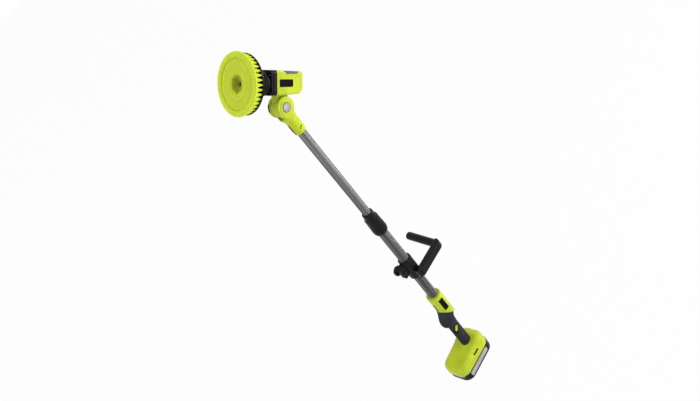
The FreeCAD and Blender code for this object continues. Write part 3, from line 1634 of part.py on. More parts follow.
def build():
    fill_sheet()
    lower_tube()
    collet_fitting()
    clamp_collet()
    twist_collar()
    upper_tube()
    glide_bush()
    seam = "(lower_r + sleeve_r) / 2"
    levels = ("sleeve_front + sleeve_long / 5", "sleeve_top - sleeve_long / 6")
    spots = [(f"{sign}{seam}", z) for sign in ("", "-") for z in levels]
    screws, wells = screw_set(spots, "sleeve_screw_x", "sleeve_screws")
    sleeve_shells(screws, wells)
    seam = "(grip_r - grip_wall * grip_seam_share)"
    levels = ("foot_top + grip_long / 6", "guard_low - grip_long / 8")
    spots = [(f"-(grip_forward) {sign} {seam}", z) for sign in "+-" for z in levels]
    screws, wells = screw_set(spots, "grip_screw_x", "grip_screws")
    grip_shells(screws, wells)
    switch_module()
    power_switch()
    spots = [
        ("-(foot_screw_front)", "battery_tall + foot_screw_low"),
        ("-(foot_screw_middle)", "battery_tall + foot_screw_high"),
        ("foot_screw_rear", "battery_tall + foot_screw_low"),
    ]
    screws, wells = screw_set(spots, "foot_screw_x", "foot_screws")
    foot_shells(screws, wells)
    finished(terminal_form(), "terminal_block")
    battery_body()
    clamp_liner()
    aux_handle()
    clamp_cap()
    clamp_bolt()
    clamp_knob()
    seam = "((upper_r + neck_r) / 2)"
    spots = [(f"{sign}{seam}", "neck_low + neck_tall - screw_edge") for sign in ("", "-")]
    screws, wells = screw_set(spots, "neck_screw_x", "neck_screws")
    neck_shells(screws, wells)
    hinge_pin()
    pivot_button()
    lock_gear()
    spots = [
        ("shell_bottom + screw_edge", "shell_screw_front"),
        ("shell_bottom + screw_edge", "-(shell_screw_rear)"),
        ("motor_rise + shell_screw_spread", "-(shell_back) + motor_wall / 2"),
        ("motor_rise - shell_screw_spread", "-(shell_back) + motor_wall / 2"),
    ]
    across = [screw(y, z, "shell_screw_x", "shell_screw_x") for y, z in spots]
    wells = group([screw_well(y, z, "shell_screw_x", "foot_half") for y, z in spots])
    finished(group(across + case_screws()), "head_screws", in_head=True)
    head_housing(fuse(*across, *case_screws()), wells)
    top_vent()
    gear_case(group(case_screws()))
    motor()
    armature()
    motor_plate()
    gears()
    planet_carrier()
    output_bearing()
    brush_plate()
    bristles()
    brush_screw()


def check_and_write():
    doc.recompute()
    for thing in doc.Objects:
        if {"Invalid", "Error"} & set(thing.State):
            raise RuntimeError(f"{thing.Name} ({thing.Label}) did not compute: {thing.State}")
    os.makedirs("parts", exist_ok=True)
    for thing in subparts:
        shape = thing.Shape
        if shape.isNull() or not shape.isValid() or not shape.Solids:
            raise RuntimeError(f"{thing.Label} has no valid solid")
    for thing in subparts:
        thing.Shape.exportStep(f"parts/{thing.Label}.step")


build()
check_and_write()
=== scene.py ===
import bpy
import json
import math
import random
from mathutils import Matrix, Vector


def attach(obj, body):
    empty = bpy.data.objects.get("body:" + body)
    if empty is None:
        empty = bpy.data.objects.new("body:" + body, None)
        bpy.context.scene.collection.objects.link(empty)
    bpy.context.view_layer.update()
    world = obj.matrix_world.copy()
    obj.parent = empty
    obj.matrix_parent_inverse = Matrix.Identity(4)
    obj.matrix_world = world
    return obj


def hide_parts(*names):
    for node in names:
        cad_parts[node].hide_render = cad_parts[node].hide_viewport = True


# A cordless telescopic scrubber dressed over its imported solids. Metres: +Z up the pole, -Y the front,
# +X the side of the pivot's silver button.

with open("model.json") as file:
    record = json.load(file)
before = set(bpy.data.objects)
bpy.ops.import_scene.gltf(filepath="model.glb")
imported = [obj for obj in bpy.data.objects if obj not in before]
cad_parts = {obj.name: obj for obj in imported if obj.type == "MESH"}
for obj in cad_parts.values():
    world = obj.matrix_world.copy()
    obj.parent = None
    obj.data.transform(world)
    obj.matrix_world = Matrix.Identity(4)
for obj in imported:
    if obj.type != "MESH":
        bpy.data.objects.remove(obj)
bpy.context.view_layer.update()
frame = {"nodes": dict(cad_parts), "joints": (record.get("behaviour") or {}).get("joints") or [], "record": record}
bpy.ops.object.select_all(action="DESELECT")

MM = 0.001
FLAT_VIEW = "Standard"


def linear(red, green, blue):
    """A colour written in sRGB display values from 0 to 255, as the shaders want it."""
    parts = []
    for level in (red, green, blue):
        share = level / 255
        parts.append(share / 12.92 if share < 0.04045 else ((share + 0.055) / 1.055) ** 2.4)
    return (*parts, 1.0)


LIME = linear(198, 215, 34)
LIME_DEEP = linear(180, 197, 28)
# Painted shade for the lime shells' slots and the foot's rear rim
SLOT_SHADE = linear(30, 34, 12)
BLACK = linear(7, 7, 7)
BLACK_WORN = linear(14, 14, 14)
GRIP_DARK = linear(37, 38, 44)
GRIP_PALE = linear(53, 55, 63)
TUBE_DARK = linear(68, 68, 68)
TUBE_PALE = linear(136, 136, 135)
PANEL_GREY = linear(186, 185, 192)
PANEL_DULL = linear(172, 171, 178)
# Painted shade in the battery's grooves and the vent's open side, and also the vent's own darker grey
PANEL_TONE_AND_SHADE = linear(56, 54, 56)
BADGE = linear(6, 6, 7)
BADGE_WORN = linear(11, 11, 12)
SILVER = linear(168, 165, 170)
SILVER_DEEP = linear(148, 145, 150)
# Painted shade on the rim of the pivot's button
SILVER_RIM_SHADE = linear(70, 68, 70)
BRISTLE = linear(218, 233, 52)
BRISTLE_TIP = linear(232, 246, 80)
# Painted shade at the outer tufts' roots
BRISTLE_ROOT_SHADE = linear(196, 212, 40)
# Painted shade deep in the brush, between its tufts and strands
BRISTLE_DEEP_SHADE = linear(16, 18, 8)
# Painted shade in the spindle's pit
BRISTLE_PIT_SHADE = linear(66, 74, 14)
STEEL = linear(176, 176, 180)
STEEL_DEEP = linear(120, 120, 126)
COPPER = linear(190, 120, 72)
COPPER_DEEP = linear(140, 84, 48)
WRAP = linear(30, 90, 140)
WRAP_DEEP = linear(22, 66, 108)
NYLON = linear(224, 220, 206)
NYLON_DEEP = linear(204, 198, 180)
WHITE = (1.0, 1.0, 1.0, 1.0)
FLOOR_MATT = (0.9, 0.9, 0.9, 1.0)


# Places of the moving parts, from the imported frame

def joint_named(name):
    return next(joint for joint in frame["joints"] if joint["name"] == name)


HINGE_MIDDLE = Vector(joint_named("head_tilt")["pos_m"])
SPIN = joint_named("brush_spin")
BRUSH_AXIS = Vector(SPIN["axis"]).normalized()
BRUSH_MIDDLE = Vector(SPIN["pos_m"])
BRUSH_SIDE = Vector((1.0, 0.0, 0.0))
BRUSH_PLACE = Matrix((
    (*BRUSH_SIDE,),
    (*BRUSH_AXIS.cross(BRUSH_SIDE),),
    (*BRUSH_AXIS,),
)).transposed().to_4x4()
BRUSH_PLACE.translation = BRUSH_MIDDLE


def reach(node, axis):
    """How far a CAD node lies from the brush's middle, at the most, along an axis."""
    return max((vertex.co - BRUSH_MIDDLE).dot(axis) for vertex in frame["nodes"][node].data.vertices)


PLATE_FACE = reach("brush_plate", BRUSH_AXIS)
BRUSH_FACE = reach("bristles_outer", BRUSH_AXIS)
FIELD_FACE = reach("bristles_inner", BRUSH_AXIS)
RIM_R = reach("bristles_outer", BRUSH_SIDE)
FIELD_R = reach("bristles_inner", BRUSH_SIDE)


# Shader trees

SHADER = "Principled BSDF"

# Noise lies mostly between these values, and a narrower span gives it more contrast.
SOFT_SPAN = 0.3, 0.7
CLOUD_SPAN = 0.35, 0.65
STREAK_SPAN = 0.36, 0.64


class Wire:
    """An output of a shader tree; arithmetic on it adds Math nodes."""

    def __init__(self, shading, socket):
        self.shading = shading
        self.socket = socket

    def worked(self, operation, *values):
        return self.shading.node("ShaderNodeMath", {"operation": operation}, dict(enumerate(values)))

    def __add__(self, other):
        return self.worked("ADD", self, other)

    def __sub__(self, other):
        return self.worked("SUBTRACT", self, other)

    def __rsub__(self, other):
        return self.worked("SUBTRACT", other, self)

    def __mul__(self, other):
        return self.worked("MULTIPLY", self, other)

    def __gt__(self, other):
        return self.worked("GREATER_THAN", self, other)

    def __lt__(self, other):
        return self.worked("LESS_THAN", self, other)

    __radd__ = __add__
    __rmul__ = __mul__


class Shading:
    """The shader tree of a material or of the world."""

    def __init__(self, holder):
        holder.use_nodes = True
        self.tree = holder.node_tree

    def node(self, kind, settings=None, sockets=None, output=0):
        """Any node: its settings come first, then a value or a link for each socket named."""
        made = self.tree.nodes.new(kind)
        for name, setting in (settings or {}).items():
            setattr(made, name, setting)
        for name, given in (sockets or {}).items():
            if isinstance(given, Wire):
                self.tree.links.new(given.socket, made.inputs[name])
            else:
                made.inputs[name].default_value = given
        return Wire(self, made.outputs[output])

    def feed(self, wire, place, label):
        """Link a wire to a socket of a node that the tree came with."""
        self.tree.links.new(wire.socket, self.tree.nodes[place].inputs[label])

    def spread(self, wire, low, high, to_low=0.0, to_high=1.0):
        """A span of values spread over another one."""
        sockets = {"Value": wire, "From Min": low, "From Max": high, "To Min": to_low, "To Max": to_high}
        return self.node("ShaderNodeMapRange", sockets=sockets)

    def mixed(self, share, first, second):
        return self.node("ShaderNodeMix", {"data_type": "RGBA"}, {0: share, 6: first, 7: second}, output=2)

    def seen_directly(self):
        """1 for rays from the camera, or seen in metal or glass, and 0 for rays that light the object."""
        share = self.node("ShaderNodeLightPath", output="Is Camera Ray")
        for ray in ("Is Glossy Ray", "Is Transmission Ray"):
            share = share.worked("MAXIMUM", share, self.node("ShaderNodeLightPath", output=ray))
        return share


class Finish(Shading):
    """A material with one Principled shader, and the nodes that vary it over the surface."""

    def __init__(self, name, **flat):
        self.material = bpy.data.materials.new(name)
        super().__init__(self.material)
        self.at = self.node("ShaderNodeTexCoord", output="Object")
        for label, number in flat.items():
            self.tree.nodes[SHADER].inputs[label.replace("_", " ")].default_value = number

    def noise(self, cells, detail=2.0, stretch=None):
        """Noise over the piece, as fine as the number of cells in a metre."""
        place = self.at
        if stretch:
            place = self.node("ShaderNodeMapping", sockets={"Vector": self.at, "Scale": stretch})
        return self.node("ShaderNodeTexNoise", sockets={"Vector": place, "Scale": cells, "Detail": detail})

    def along(self, axis):
        """The place on the piece along one axis, in metres."""
        return self.node("ShaderNodeSeparateXYZ", sockets={"Vector": self.at}, output=axis)

    def inside(self, middle, half, lean=0.0, turn=0.0):
        """1 within a box of half sizes about its middle, both in mm, leaned about X, then turned about Z."""
        spot = self.node("ShaderNodeMapping", {"vector_type": "TEXTURE"}, {
            "Vector": self.at,
            "Location": Vector(middle) * MM,
            "Rotation": (lean, 0.0, turn),
            "Scale": Vector(half) * MM,
        })
        spans = self.node("ShaderNodeVectorMath", {"operation": "ABSOLUTE"}, {0: spot})
        mask = 1.0
        for axis in "XYZ":
            span = self.node("ShaderNodeSeparateXYZ", sockets={"Vector": spans}, output=axis)
            mask = (span < 1.0) * mask
        return mask

    def off_axis(self, middle, keep):
        """How far the place is from an axis through a middle, in metres, counting the axes kept."""
        apart = self.node("ShaderNodeVectorMath", {"operation": "SUBTRACT"}, {0: self.at, 1: middle})
        flat = self.node("ShaderNodeVectorMath", {"operation": "MULTIPLY"}, {0: apart, 1: keep})
        return self.node("ShaderNodeVectorMath", {"operation": "LENGTH"}, {0: flat}, output="Value")

    def colour(self, wire):
        self.feed(wire, SHADER, "Base Color")

    def roughness(self, wire):
        self.feed(wire, SHADER, "Roughness")

    def relief(self, wire, strength, depth):
        bump = self.node("ShaderNodeBump", sockets={"Height": wire, "Strength": strength, "Distance": depth})
        normal = self.node("ShaderNodeVectorMath", {"operation": "NORMALIZE"}, {0: bump})
        self.feed(normal, SHADER, "Normal")

    def clouds(self, main, second, darker, shade, cells, detail):
        """Clouds of two colours, and a shade colour in the darker places if it has them: painted shade, but for
        the vent's own darker grey.
        """
        tint = self.mixed(self.spread(self.noise(cells, detail), *CLOUD_SPAN), main, second)
        if darker:
            tint = self.mixed(darker(self), tint, shade)
        self.colour(tint)


MOULD_GLOSS_DOWN = 0.05
MOULD_GLOSS_UP = 0.07
MOULD_GRAIN_DEEP = 0.15 * MM


def moulded(name, main, second, gloss, grain=1400.0, strength=0.12, darker=None, shade=None, **flat):
    """Moulded plastic: clouds of colour and a fine spark-eroded grain, and painted shade in darker places if it
    has them, on the grey also the vent's own darker tone.
    """
    finish = Finish(name, **flat)
    sparks = finish.noise(grain)
    finish.clouds(main, second, darker, shade, cells=14.0, detail=3.0)
    finish.roughness(finish.spread(sparks, *SOFT_SPAN, gloss - MOULD_GLOSS_DOWN, gloss + MOULD_GLOSS_UP))
    finish.relief(sparks, strength, MOULD_GRAIN_DEEP)
    return finish.material


# Painted shade on the lime shells, in the open slots and on the foot's rear rim: the share of shade, the middle
# and half sizes in mm, and the lean
SEAM_SLOT_HALF = (3.05, 2.0, 16.6)
LIME_PAINTED_SHADE = {
    "neck seam slot": (1.0, (0.0, -17.4, 1079.0), SEAM_SLOT_HALF, 0.0),
    "sleeve seam slot": (1.0, (0.0, -23.7, 276.5), SEAM_SLOT_HALF, 0.0),
    "ear slot": (1.0, (-15.25, -19.6, 1159.1), (3.05, 3.55, 10.05), math.radians(-36.0)),
    "neck side slot": (1.0, (17.5, 0.0, 1077.0), (2.95, 5.55, 1.35), math.radians(30.0)),
    "foot side slot": (0.75, (45.0, -34.0, 55.0), (4.05, 12.55, 3.55), 0.0),
    "foot rear rim": (0.75, (0.0, 36.0, 66.5), (60.0, 7.5, 5.5), 0.0),
}


def lime_painted_shade(finish):
    """Painted shade in the open slots, whose bottoms nothing lights, and on the foot's rear rim."""
    mask = 0.0
    for share, middle, half, lean in LIME_PAINTED_SHADE.values():
        mask = finish.inside(middle, half, lean) * share + mask
    return mask


def lime_plastic():
    # The lime takes painted shade in its slots and on the foot's rear rim.
    return moulded("lime_plastic", LIME, LIME_DEEP, gloss=0.36, darker=lime_painted_shade, shade=SLOT_SHADE,
                   Specular_IOR_Level=0.3)


def black_plastic():
    return moulded("black_plastic", BLACK, BLACK_WORN, gloss=0.34, strength=0.25, Specular_IOR_Level=0.15)


# Painted shade, black, in the switch's recess in the grip: its middle and half sizes in mm, and how it leans and
# turns
RECESS_SHADE = (15.9, -20.9, 160.0), (9.0, 7.2, 18.4), math.radians(-27.4), math.radians(-28.0)
PEBBLE_SPAN = 0.0, 0.7
PEBBLE_GLOSS = 0.52, 0.7
PEBBLE_DEEP = 0.2 * MM


# Painted shade: where the grip turns black in the switch's recess
def switch_recess_shade(finish):
    return finish.inside(*RECESS_SHADE)


def grip_rubber():
    """Soft overmould with a pebbled skin, with black painted shade in the switch's recess and round its lip."""
    finish = Finish("grip_rubber", Specular_IOR_Level=0.08)
    pebble = finish.node("ShaderNodeTexVoronoi", sockets={"Vector": finish.at, "Scale": 900.0})
    # Black stands in here for the painted shade of the switch's recess.
    finish.clouds(GRIP_DARK, GRIP_PALE, switch_recess_shade, BLACK, cells=20.0, detail=3.0)
    finish.roughness(finish.spread(pebble, *PEBBLE_SPAN, *PEBBLE_GLOSS))
    finish.relief(pebble, strength=0.35, depth=PEBBLE_DEEP)
    return finish.material


# Where the battery's panels end, how their grooves repeat, and where the vent and its open side begin; how much
# painted shade the grooves and the vent's open side take, and how much darker the vent's own grey is
PANEL_TOP = 29 * MM
GROOVE_PITCH = 6.2 * MM
GROOVE_START = 15.65 * MM
GROOVE_CREST = 0.82
GROOVE_SHADE_SHARE = 0.6
VENT_LOW = 1.0
VENT_SIDE = 25.5 * MM
VENT_TOP_SHARE = 0.3
VENT_SIDE_SHADE_SHARE = 0.65


def grey_tone_and_shade(finish):
    """Painted shade along the grooves of the battery's side panels, and the vent's own darker grey, with painted
    shade darkest in its open side.
    """
    height = finish.along("Z")
    wave = finish.node("ShaderNodeMath", {"operation": "COSINE"},
                       {0: (height - GROOVE_START) * (2 * math.pi / GROOVE_PITCH)})
    grooves = (wave > GROOVE_CREST) * (height < PANEL_TOP) * GROOVE_SHADE_SHARE
    # The whole vent is a darker grey of its own, and its open side takes painted shade.
    vent_tone_and_shade = (finish.along("X") > VENT_SIDE) * VENT_SIDE_SHADE_SHARE + VENT_TOP_SHARE
    return vent_tone_and_shade * (height > VENT_LOW) + grooves


def grey_plastic():
    return moulded("grey_plastic", PANEL_GREY, PANEL_DULL, gloss=0.42, darker=grey_tone_and_shade,
                   shade=PANEL_TONE_AND_SHADE, Specular_IOR_Level=0.4)


SCRATCH_DEEP = 0.05 * MM
TUBE_GLOSS = 0.36, 0.45
LINES_SHARE = 0.35


def pole_metal():
    """Drawn tube: streaks along the pole, and a sheen that is narrow across them and long beside them."""
    finish = Finish("pole_metal", Metallic=0.95, Anisotropic=1.0, Anisotropic_Rotation=0.25)
    lines = finish.noise(1.0, stretch=(500.0, 500.0, 4.0))
    streaks = finish.noise(1.0, detail=1.0, stretch=(130.0, 130.0, 1.5))
    share = finish.spread(lines * LINES_SHARE + streaks * (1 - LINES_SHARE), *STREAK_SPAN)
    finish.colour(finish.mixed(share, TUBE_PALE, TUBE_DARK))
    finish.roughness(finish.spread(lines, *SOFT_SPAN, *TUBE_GLOSS))
    finish.relief(lines, strength=0.03, depth=SCRATCH_DEEP)
    return finish.material


# Beyond this radius from the hinge's axis, the pivot's button takes painted shade.
BUTTON_SHADE_R = 10.9 * MM
ACROSS_HINGE = (0.0, 1.0, 1.0)


def button_rim_shade(finish):
    """The turned edge of the pivot's button, with painted shade that makes it dark beside its polished face."""
    return finish.off_axis(HINGE_MIDDLE, ACROSS_HINGE) > BUTTON_SHADE_R


METAL_GLOSS_DOWN = 0.06
METAL_GLOSS_UP = 0.08


def metal(name, main, second, gloss, scratches=700.0, darker=None, shade=None):
    """Machined or pressed metal with fine scratches and a mottled tint, and painted shade in darker places if it
    has them.
    """
    finish = Finish(name, Metallic=1.0)
    marks = finish.noise(scratches, detail=3.0)
    finish.clouds(main, second, darker, shade, cells=40.0, detail=2.0)
    finish.roughness(finish.spread(marks, *SOFT_SPAN, gloss - METAL_GLOSS_DOWN, gloss + METAL_GLOSS_UP))
    finish.relief(marks, strength=0.1, depth=SCRATCH_DEEP)
    return finish.material


def bristle_nylon(name, root, low, high):
    """Nylon strands with painted shade, of a root colour up to a low place on the brush's axis, and lime from a
    high one.
    """
    finish = Finish(name, Roughness=0.5, Specular_IOR_Level=0.25)
    rise = finish.node("ShaderNodeVectorMath", {"operation": "DOT_PRODUCT"},
                       {0: finish.at, 1: BRUSH_AXIS}, output="Value")
    height = finish.spread(rise - BRUSH_AXIS.dot(BRUSH_MIDDLE), low, high)
    strand = finish.noise(420.0, detail=1.0)
    body = finish.mixed(finish.spread(strand, *CLOUD_SPAN), BRISTLE, BRISTLE_TIP)
    finish.colour(finish.mixed(height, root, body))
    return finish.material


# How far above the plate the bristles' painted shade begins to turn lime and where they are lime, and where the
# pit's painted shade begins to turn lime
SHADED_LOW = 8.0 * MM
SHADED_HIGH = 20.0 * MM
PIT_SHADE_LOW = 4.0 * MM

FINISHES = {
    "lime_plastic": lime_plastic(),
    "black_plastic": black_plastic(),
    "grip_rubber": grip_rubber(),
    "grey_plastic": grey_plastic(),
    "pole_metal": pole_metal(),
    "silver": metal("silver_cap", SILVER, SILVER_DEEP, gloss=0.36, scratches=300.0,
                    darker=button_rim_shade, shade=SILVER_RIM_SHADE),
    "badge": moulded("bare_badge", BADGE, BADGE_WORN, gloss=0.3, grain=500.0, strength=0.04,
                     Specular_IOR_Level=0.06),
    # The outer tufts take a light painted shade towards the plate.
    "bristle": bristle_nylon("bristle_nylon", BRISTLE_ROOT_SHADE, PLATE_FACE, BRUSH_FACE),
    "steel": metal("bright_steel", STEEL, STEEL_DEEP, gloss=0.32),
    "black_steel": moulded("black_steel", BLACK, BLACK_WORN, gloss=0.34, grain=500.0,
                           Specular_IOR_Level=0.25),
    "copper": metal("copper_and_bronze", COPPER, COPPER_DEEP, gloss=0.38),
    "cell_wrap": moulded("cell_wrap", WRAP, WRAP_DEEP, gloss=0.3, grain=300.0),
    "gear_plastic": moulded("natural_nylon", NYLON, NYLON_DEEP, gloss=0.42, grain=600.0),
}
# Painted shade: near black low in the brush, turning lime towards the tips
BRISTLE_SHADED = bristle_nylon("bristle_nylon_shaded", BRISTLE_DEEP_SHADE,
                               PLATE_FACE + SHADED_LOW, PLATE_FACE + SHADED_HIGH)
# Painted shade in the pit: olive low down, turning lime towards the field's face
PIT_SHADED_NYLON = bristle_nylon("bristle_nylon_pit_shade", BRISTLE_PIT_SHADE, PLATE_FACE + PIT_SHADE_LOW, FIELD_FACE)
SLOT_OF = {part["node"]: part["material_slot"] for part in frame["record"]["subparts"]}


def dress_nodes():
    """Each CAD node takes the finish of its record slot."""
    for name, node in frame["nodes"].items():
        material = FINISHES[SLOT_OF[name]]
        if not node.material_slots:
            node.data.materials.append(material)
        for held in node.material_slots:
            held.material = material


# Modelling helpers

SMOOTH_UNDER = math.radians(50.0)
STRAND_SIDES = 5
LATHE_STEPS = 120
MERGE = 0.01 * MM


def editing(thing):
    bpy.ops.object.select_all(action="DESELECT")
    thing.select_set(True)
    bpy.context.view_layer.objects.active = thing
    bpy.ops.object.mode_set(mode="EDIT")


def done():
    bpy.ops.object.mode_set(mode="OBJECT")
    bpy.ops.object.select_all(action="DESELECT")


def settled(thing, name, body, place, material):
    """Name a finished piece, put its place in its mesh, and let it ride on its body."""
    thing.name = name
    thing.data.name = name
    thing.data.transform(place)
    thing.data.materials.clear()
    thing.data.materials.append(material)
    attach(thing, body)


def smooth(thing):
    """Leave edit mode with the piece shaded smooth, but for its sharp edges."""
    done()
    thing.select_set(True)
    bpy.context.view_layer.objects.active = thing
    bpy.ops.object.shade_smooth_by_angle(angle=SMOOTH_UNDER)
    bpy.ops.object.select_all(action="DESELECT")


def add_strand(root, bend, tip, root_r, tip_r):
    """In edit mode: one bristle, a five-sided stem that widens through a bend to its tip."""
    bpy.ops.mesh.select_all(action="DESELECT")
    bpy.ops.mesh.primitive_circle_add(vertices=STRAND_SIDES, radius=root_r, fill_type="NGON", location=root)
    middle_r = (root_r + tip_r) / 2
    for start, end, from_r, to_r in ((root, bend, root_r, middle_r), (bend, tip, middle_r, tip_r)):
        bpy.ops.mesh.extrude_region_move(TRANSFORM_OT_translate={"value": end - start})
        share = to_r / from_r
        bpy.ops.transform.resize(value=(share, share, share), center_override=end)


def around(count):
    """In edit mode: copy everything round the Z axis so that it stands there count times."""
    bpy.ops.mesh.select_all(action="SELECT")
    step = 2 * math.pi / count
    bpy.ops.mesh.spin(steps=count - 1, dupli=True, angle=step * (count - 1), center=(0, 0, 0), axis=(0, 0, 1))


def lathe(outline):
    """A closed ring spun about Z from its outline of radius and height."""
    mesh = bpy.data.meshes.new("ring")
    spots = [(radius, 0.0, height) for radius, height in outline]
    mesh.from_pydata(spots, [(i, (i + 1) % len(spots)) for i in range(len(spots))], [])
    thing = bpy.data.objects.new("ring", mesh)
    bpy.context.scene.collection.objects.link(thing)
    editing(thing)
    bpy.ops.mesh.select_all(action="SELECT")
    bpy.ops.mesh.spin(steps=LATHE_STEPS, angle=2 * math.pi, center=(0, 0, 0), axis=(0, 0, 1))
    bpy.ops.mesh.select_all(action="SELECT")
    bpy.ops.mesh.remove_doubles(threshold=MERGE)
    bpy.ops.mesh.normals_make_consistent(inside=False)
    done()
    return thing


# Brush

TUFT_SEED = 11
FIELD_SEED = 5
PIT_SEED = 8

# Everything but the pit is made for one slice of the brush, a tuft wide, and then copied round it.
TUFTS = 40
TUFT_STEP = 2 * math.pi / TUFTS
TUFT_HALF = TUFT_STEP / 2
STRAND_PITCH = 1.9 * MM
STRAND_R = 0.95 * MM
STRAND_FOOT_R = STRAND_R * 0.8
STRAND_ROOT_R = 0.5 * MM
STRAND_SUNK = 0.6 * MM
RAGGED = 0.45 * MM
EDGE_DROP = 1.2 * MM
EDGE_WIDTH = 5.0 * MM
GROOVE_DROP = 1.2 * MM

# A closed core under the strands' tips fills the gaps between them, and its painted shade, darker towards the
# plate, shows there.
CORE_SINK = 0.9 * MM

# A tuft leaves the plate as a narrow bunch, and bends outwards and sideways until it fills its slice.
ROOT_IN = 64.4 * MM
ROOT_OUT = 70.4 * MM
ROOT_HALF = 1.0 * MM
BAND_IN = 60.0 * MM
BEND_RISE = 19.0 * MM
BEND_OUT_SHARE = 0.55
BEND_WIDE_SHARE = 0.9
TIP_WIDE_SHARE = 0.96
TIP_WANDER_SHARE = 0.04
CORE_LOW_SHARE = 0.86

# The field's strands stand upright, each a little beside its place.
FIELD_WANDER_SHARE = 0.1
FIELD_WANDER = 0.3 * MM

# The pit's strands stand in rows round it, higher and more upright from its floor to its top. Six spokes of
# them, each with its places in every row, go round the pit.
PIT_FLOOR_R = 9.6 * MM
PIT_TOP_R = 21.6 * MM
PIT_SPOKES = 6
PIT_PLACES = 8
PIT_ROWS = 7
PIT_LEAN = 7.0 * MM
PIT_LEAN_SHARES = 0.4, 1.0
PIT_UPRIGHT_SHARE = 0.8
PIT_WANDER_SHARE = 0.1
PIT_LOW_SHARE = 0.45
PIT_RISE_SHARE = 0.5


def wedge_spots(inner, outer):
    """Places across one tuft's slice of the ring, as radius and as share of the slice from -1 to 1."""
    rows = round((outer - inner) / STRAND_PITCH)
    for row in range(rows):
        radius = inner + (outer - inner) * (row + 0.5) / rows
        across = round(radius * TUFT_STEP / STRAND_PITCH)
        for place in range(across):
            yield radius, (2 * place + 1) / across - 1


def polar(radius, angle, height):
    return Vector((radius * math.cos(angle), radius * math.sin(angle), height))


def strands_begun():
    """An empty mesh in edit mode, for strands to be added to."""
    bpy.ops.mesh.primitive_circle_add(vertices=STRAND_SIDES, radius=STRAND_ROOT_R, location=(0, 0, 0))
    thing = bpy.context.object
    editing(thing)
    bpy.ops.mesh.select_all(action="SELECT")
    bpy.ops.mesh.delete(type="VERT")
    return thing


def edge_drop(radius, inner, outer):
    """How much lower a strand ends where it stands near the inner or the outer edge of a ring."""
    near = min(radius - inner, outer - radius)
    return EDGE_DROP * max(0.0, 1.0 - near / EDGE_WIDTH)


def outer_tufts():
    """Forty tufts that leave the plate as narrow bunches, fan out and then stand packed together."""
    dice = random.Random(TUFT_SEED)
    tufts = strands_begun()
    for radius, share in wedge_spots(BAND_IN, RIM_R - STRAND_R):
        depth = (radius - BAND_IN) / (RIM_R - BAND_IN)
        root_r = ROOT_IN + (ROOT_OUT - ROOT_IN) * depth
        root = polar(root_r, 0.0, PLATE_FACE - STRAND_SUNK) + Vector((0, ROOT_HALF * share, 0))
        bend_r = root_r + (radius - root_r) * BEND_OUT_SHARE
        bend = polar(bend_r, TUFT_HALF * share * BEND_WIDE_SHARE, PLATE_FACE + BEND_RISE)
        ragged = dice.uniform(-RAGGED, 0.0)
        lean = dice.uniform(-TIP_WANDER_SHARE, TIP_WANDER_SHARE)
        height = BRUSH_FACE - edge_drop(radius, BAND_IN, RIM_R) + ragged
        tip = polar(radius, TUFT_HALF * (share * TIP_WIDE_SHARE + lean), height)
        add_strand(root, bend, tip, STRAND_ROOT_R, STRAND_R)
    around(TUFTS)
    smooth(tufts)
    settled(tufts, "bristle_tufts_outer", "brush", BRUSH_PLACE, FINISHES["bristle"])
    core_low = PLATE_FACE + BEND_RISE * CORE_LOW_SHARE
    core = lathe([
        (BAND_IN + CORE_SINK, core_low),
        (RIM_R - 4 * CORE_SINK, core_low),
        (RIM_R - CORE_SINK, BRUSH_FACE - 3 * CORE_SINK),
        (RIM_R - 2 * CORE_SINK, BRUSH_FACE - CORE_SINK),
        (BAND_IN + EDGE_WIDTH, BRUSH_FACE - CORE_SINK),
        (BAND_IN + CORE_SINK, BRUSH_FACE - EDGE_DROP - CORE_SINK),
    ])
    settled(core, "bristle_core_outer", "brush", BRUSH_PLACE, BRISTLE_SHADED)
    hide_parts("bristles_outer")


def field_height(radius):
    """How high the inner field stands: lower at its edges, and lowest in the groove round it."""
    if radius > FIELD_R - STRAND_R:
        return FIELD_FACE - GROOVE_DROP
    return FIELD_FACE - edge_drop(radius, PIT_TOP_R, FIELD_R)


def inner_field():
    """The round field of bristles between the spindle's pit and the outer band."""
    dice = random.Random(FIELD_SEED)
    field = strands_begun()
    for radius, share in wedge_spots(PIT_TOP_R, BAND_IN):
        angle = TUFT_HALF * (share + dice.uniform(-FIELD_WANDER_SHARE, FIELD_WANDER_SHARE))
        wander = dice.uniform(-FIELD_WANDER, FIELD_WANDER)
        root = polar(radius + wander, angle, PLATE_FACE - STRAND_SUNK)
        tip = polar(radius, angle, field_height(radius) - dice.uniform(0.0, RAGGED))
        add_strand(root, (root + tip) / 2, tip, STRAND_FOOT_R, STRAND_R)
    around(TUFTS)
    smooth(field)
    settled(field, "bristle_field_inner", "brush", BRUSH_PLACE, BRISTLE_SHADED)
    below = 2 * CORE_SINK
    core = lathe([
        (PIT_TOP_R + CORE_SINK, PLATE_FACE),
        (BAND_IN, PLATE_FACE),
        (BAND_IN, FIELD_FACE - GROOVE_DROP - CORE_SINK),
        (FIELD_R - 2 * CORE_SINK, FIELD_FACE - GROOVE_DROP - CORE_SINK),
        (FIELD_R - 2 * CORE_SINK, FIELD_FACE - below),
        (PIT_TOP_R + CORE_SINK, FIELD_FACE - below),
    ])
    settled(core, "bristle_core_inner", "brush", BRUSH_PLACE, BRISTLE_SHADED)
    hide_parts("bristles_inner")


